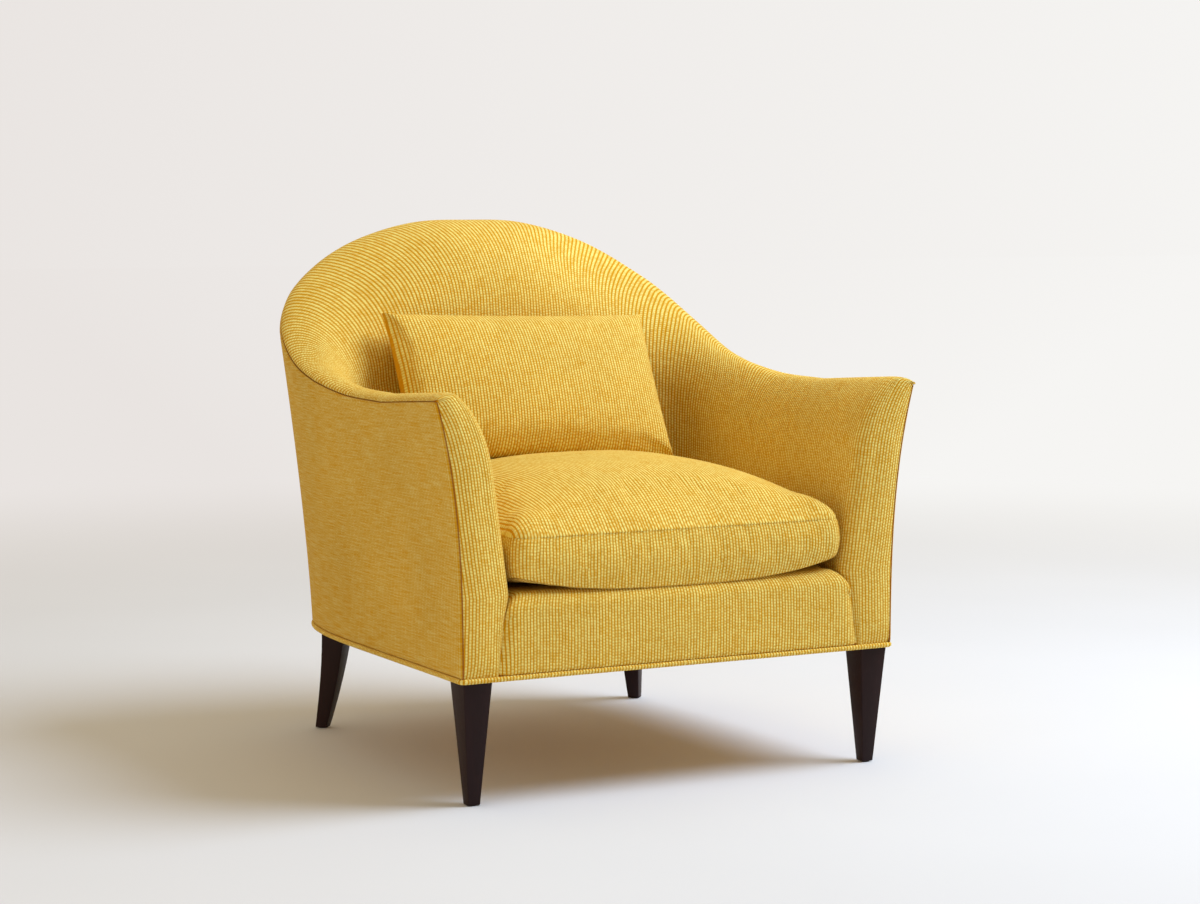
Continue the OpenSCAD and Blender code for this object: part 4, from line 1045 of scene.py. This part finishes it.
def pillow_panel(name, side):
    across = [math.sin(a) for a in steps(-math.pi / 2, math.pi / 2, 72)]
    up = [math.sin(a) for a in steps(-math.pi / 2, math.pi / 2, 44)]
    rows = [[pillow_pt(s, t, side) for t in up] for s in across]
    marks = [[(s * PILLOW_W / 2 * MM, t * PILLOW_H / 2 * MM) for t in up] for s in across]
    return sewn_grid(name, rows, marks)


def lumbar_pillow():
    """The knife-edged pillow: two panels sewn together round a filling."""
    piece = pillow_panel("lumbar_pillow", -1)
    back = pillow_panel("pillow_back", 1)
    turn_faces(back)
    pick(piece)
    back.select_set(True)
    bpy.ops.object.join()
    pick(piece)
    bpy.ops.object.mode_set(mode="EDIT")
    bpy.ops.mesh.select_all(action="DESELECT")
    bpy.ops.mesh.select_non_manifold()
    bpy.ops.mesh.bridge_edge_loops()
    bpy.ops.object.mode_set(mode="OBJECT")
    face_outward(piece)
    swell(piece, 3, 0.02, 5, lambda point: False)
    smooth_faces(piece, 100)
    finish_piece(piece, COVER, "fabric", "lumbar_pillow", "lumbar_pillow_core",
                 "lumbar_pillow_front_panel", "lumbar_pillow_back_panel")


# Legs

def leg(name, x, y, top, foot, sweep, turn, node):
    """A square tapered leg; sweep curves its foot out along the direction that turn gives."""
    deselect()
    height = FRAME_Z - GLIDE_T
    bpy.ops.mesh.primitive_cube_add(size=MM, location=(0, 0, 0))
    piece = bpy.context.object
    piece.name = name
    bpy.ops.object.mode_set(mode="EDIT")
    bpy.ops.mesh.select_all(action="SELECT")
    bpy.ops.transform.resize(value=(1, 1, height))
    bpy.ops.transform.translate(value=(0, 0, (height / 2 + GLIDE_T) * MM))
    levels = 14 if sweep else 2
    for k in range(1, levels):
        bpy.ops.mesh.select_all(action="SELECT")
        cut = (GLIDE_T + height * k / levels) * MM
        bpy.ops.mesh.bisect(plane_co=(0, 0, cut), plane_no=(0, 0, 1))
    for k in range(levels + 1):
        part = k / levels
        level = (GLIDE_T + height * part) * MM
        side = lerp(foot, top, part**LEG_TAPER if sweep else part)
        bpy.ops.mesh.select_all(action="DESELECT")
        bpy.ops.object.mode_set(mode="OBJECT")
        for vertex in piece.data.vertices:
            vertex.select = abs(vertex.co.z - level) < 0.0005
        bpy.ops.object.mode_set(mode="EDIT")
        bpy.ops.transform.resize(value=(side, side, 1), center_override=(0, 0, level))
        bpy.ops.transform.translate(value=(0, sweep * (1 - part) ** LEG_CURVE * MM, 0))
    bpy.ops.object.mode_set(mode="OBJECT")
    for edge in piece.data.edges:
        ends = [piece.data.vertices[i].co for i in edge.vertices]
        edge.select = abs(ends[0].z - ends[1].z) > 0.002
    bpy.ops.object.mode_set(mode="EDIT")
    bpy.ops.mesh.select_mode(type="EDGE")
    bpy.ops.mesh.bevel(offset=LEG_EDGE * MM, segments=3, affect="EDGES")
    bpy.ops.object.mode_set(mode="OBJECT")
    piece.rotation_euler = (0, 0, turn)
    piece.location = (x * MM, y * MM, 0)
    pick(piece)
    bpy.ops.object.transform_apply(location=True, rotation=True, scale=True)
    face_outward(piece)
    smooth_faces(piece, 35)
    finish_piece(piece, DARK_WOOD, "dark_wood", "chair", node)


def legs():
    for side, hand in ((1, "right"), (-1, "left")):
        leg("front_leg_" + hand, side * FRONT_LEG_X, FRONT_LEG_Y, FRONT_LEG_TOP, FRONT_LEG_FOOT,
            0, 0, "leg_front_" + hand)
        leg("back_leg_" + hand, side * BACK_LEG_X, BACK_LEG_Y, BACK_LEG_TOP, BACK_LEG_FOOT,
            BACK_LEG_SWEEP, -side * math.radians(45), "leg_back_" + hand)


inside_upholstery()
outside_panel("outside_arm_right", 0, COVER_SPLIT, 96, "outside_arm_cover_right")
outside_panel("outside_arm_left", 2 - COVER_SPLIT, 2, 96, "outside_arm_cover_left")
outside_panel("outside_back", COVER_SPLIT, 2 - COVER_SPLIT, 120, "outside_back_cover")
front_border()
seat_deck()
welt_cord()
seat_cushion()
lumbar_pillow()
legs()

# Finishes of the frame's own pieces
for name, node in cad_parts.items():
    finish = None
    if "rail" in name or "block" in name:
        finish = BEECH_ACROSS
    if "post" in name:
        finish = BEECH
    if "straps" in name or "lining" in name:
        finish = WEBBING
    if "card" in name:
        finish = CARD
    if name == "dust_cover":
        finish = LINING
    if name == "leg_bolts":
        finish = STEEL
    if name == "foot_glides":
        finish = NYLON
    if finish:
        node.data.materials.clear()
        node.data.materials.append(finish)


# Floor, light and camera

def wall_colour(desk):
    """Backdrop colour by direction: a little darker and warmer towards the camera's left, painted shade for
    the key light coming from the right.
    """
    way = desk.node("ShaderNodeVectorMath", operation="NORMALIZE")
    desk.put(way.inputs[0], desk.node("ShaderNodeTexCoord").outputs["Object"])
    right = desk.node("ShaderNodeVectorMath", operation="DOT_PRODUCT")
    desk.put(right.inputs[0], way.outputs[0])
    right.inputs[1].default_value = (math.cos(VIEW_TURN), math.sin(VIEW_TURN), 0)
    side = desk.span(right.outputs["Value"], -0.24, 0.24, kind="LINEAR")
    return desk.blend(side, srgb(233, 228, 225), srgb(246, 245, 243))


def studio_floor():
    deselect()
    bpy.ops.mesh.primitive_plane_add(size=1, location=(0, 0, 0))
    floor = bpy.context.object
    floor.name = "studio_floor"
    bpy.ops.object.mode_set(mode="EDIT")
    bpy.ops.mesh.select_all(action="SELECT")
    bpy.ops.transform.resize(value=(60, 60, 1))
    bpy.ops.object.mode_set(mode="OBJECT")
    material, desk, shader = new_material("pale floor")
    place = desk.node("ShaderNodeTexCoord").outputs["Object"]
    mottle = desk.noise(place, 1.2, 2.0)
    desk.put(shader.inputs["Base Color"], desk.blend(mottle, srgb(218, 222, 233), srgb(225, 229, 240)))
    desk.put(shader.inputs["Roughness"], desk.span(mottle, 0.3, 0.7, 0.8, 0.9, "LINEAR"))
    shader.inputs["Specular IOR Level"].default_value = 0.1
    far = desk.node("ShaderNodeVectorMath", operation="LENGTH")
    desk.put(far.inputs[0], place)
    # Far off, camera rays see the backdrop colour instead, with its painted shade towards the left.
    wall = desk.node("ShaderNodeEmission")
    desk.put(wall.inputs["Color"], wall_colour(desk))
    seen = desk.node("ShaderNodeLightPath").outputs["Is Camera Ray"]
    mix = desk.node("ShaderNodeMixShader")
    desk.put(mix.inputs[0], desk.math("MULTIPLY", seen, desk.span(far.outputs["Value"], 1.2, 4.5)))
    desk.put(mix.inputs[1], shader.outputs[0])
    desk.put(mix.inputs[2], wall.outputs[0])
    output = next(node for node in material.node_tree.nodes if node.type == "OUTPUT_MATERIAL")
    desk.put(output.inputs["Surface"], mix.outputs[0])
    floor.data.materials.append(material)


def soft_lamp(name, place, target, size, power, colour):
    data = bpy.data.lights.new(name, "AREA")
    data.shape = "DISK"
    data.size = size
    data.energy = power
    data.color = colour
    lamp = bpy.data.objects.new(name, data)
    bpy.context.scene.collection.objects.link(lamp)
    lamp.location = place
    aim = Vector(target) - Vector(place)
    lamp.rotation_euler = aim.to_track_quat("-Z", "Y").to_euler()


def studio_light():
    world = bpy.data.worlds.new("studio")
    bpy.context.scene.world = world
    world.use_nodes = True
    world.node_tree.nodes.clear()
    desk = Desk(world.node_tree)
    seen = desk.node("ShaderNodeLightPath").outputs["Is Camera Ray"]
    light = desk.node("ShaderNodeBackground")
    light.inputs["Color"].default_value = (1.0, 0.825, 0.55, 1)
    behind = desk.node("ShaderNodeVectorMath", operation="DOT_PRODUCT")
    desk.put(behind.inputs[0], desk.node("ShaderNodeTexCoord").outputs["Object"])
    behind.inputs[1].default_value = (-math.sin(VIEW_TURN), math.cos(VIEW_TURN), 0)
    desk.put(light.inputs["Strength"], desk.span(behind.outputs["Value"], -1, 1, 0.38, 0.84, "LINEAR"))
    # Camera rays see the backdrop colour, with its painted shade towards the left.
    wall = desk.node("ShaderNodeBackground")
    desk.put(wall.inputs["Color"], wall_colour(desk))
    mix = desk.node("ShaderNodeMixShader")
    desk.put(mix.inputs[0], seen)
    desk.put(mix.inputs[1], light.outputs[0])
    desk.put(mix.inputs[2], wall.outputs[0])
    output = desk.node("ShaderNodeOutputWorld")
    desk.put(output.inputs["Surface"], mix.outputs[0])
    soft_lamp("key", (2.5, -1.4, 3.9), (0, 0, 0.4), 3.0, 196, (0.88, 0.99, 1.1))
    soft_lamp("low fill", (-2.8, -1.2, 0.35), (0, 0, 0.3), 1.6, 13, (1.0, 0.85, 0.66))


def camera():
    data = bpy.data.cameras.new("camera")
    data.sensor_width = 36
    data.lens = VIEW_LENS
    data.clip_end = 100
    made = bpy.data.objects.new("camera", data)
    bpy.context.scene.collection.objects.link(made)
    made.location = VIEW_FROM
    level = math.cos(VIEW_DOWN)
    aim = Vector((-math.sin(VIEW_TURN) * level, math.cos(VIEW_TURN) * level, -math.sin(VIEW_DOWN)))
    made.rotation_euler = aim.to_track_quat("-Z", "Y").to_euler()
    bpy.context.scene.camera = made


studio_floor()
studio_light()
camera()
bpy.context.scene.view_settings.view_transform = "Standard"
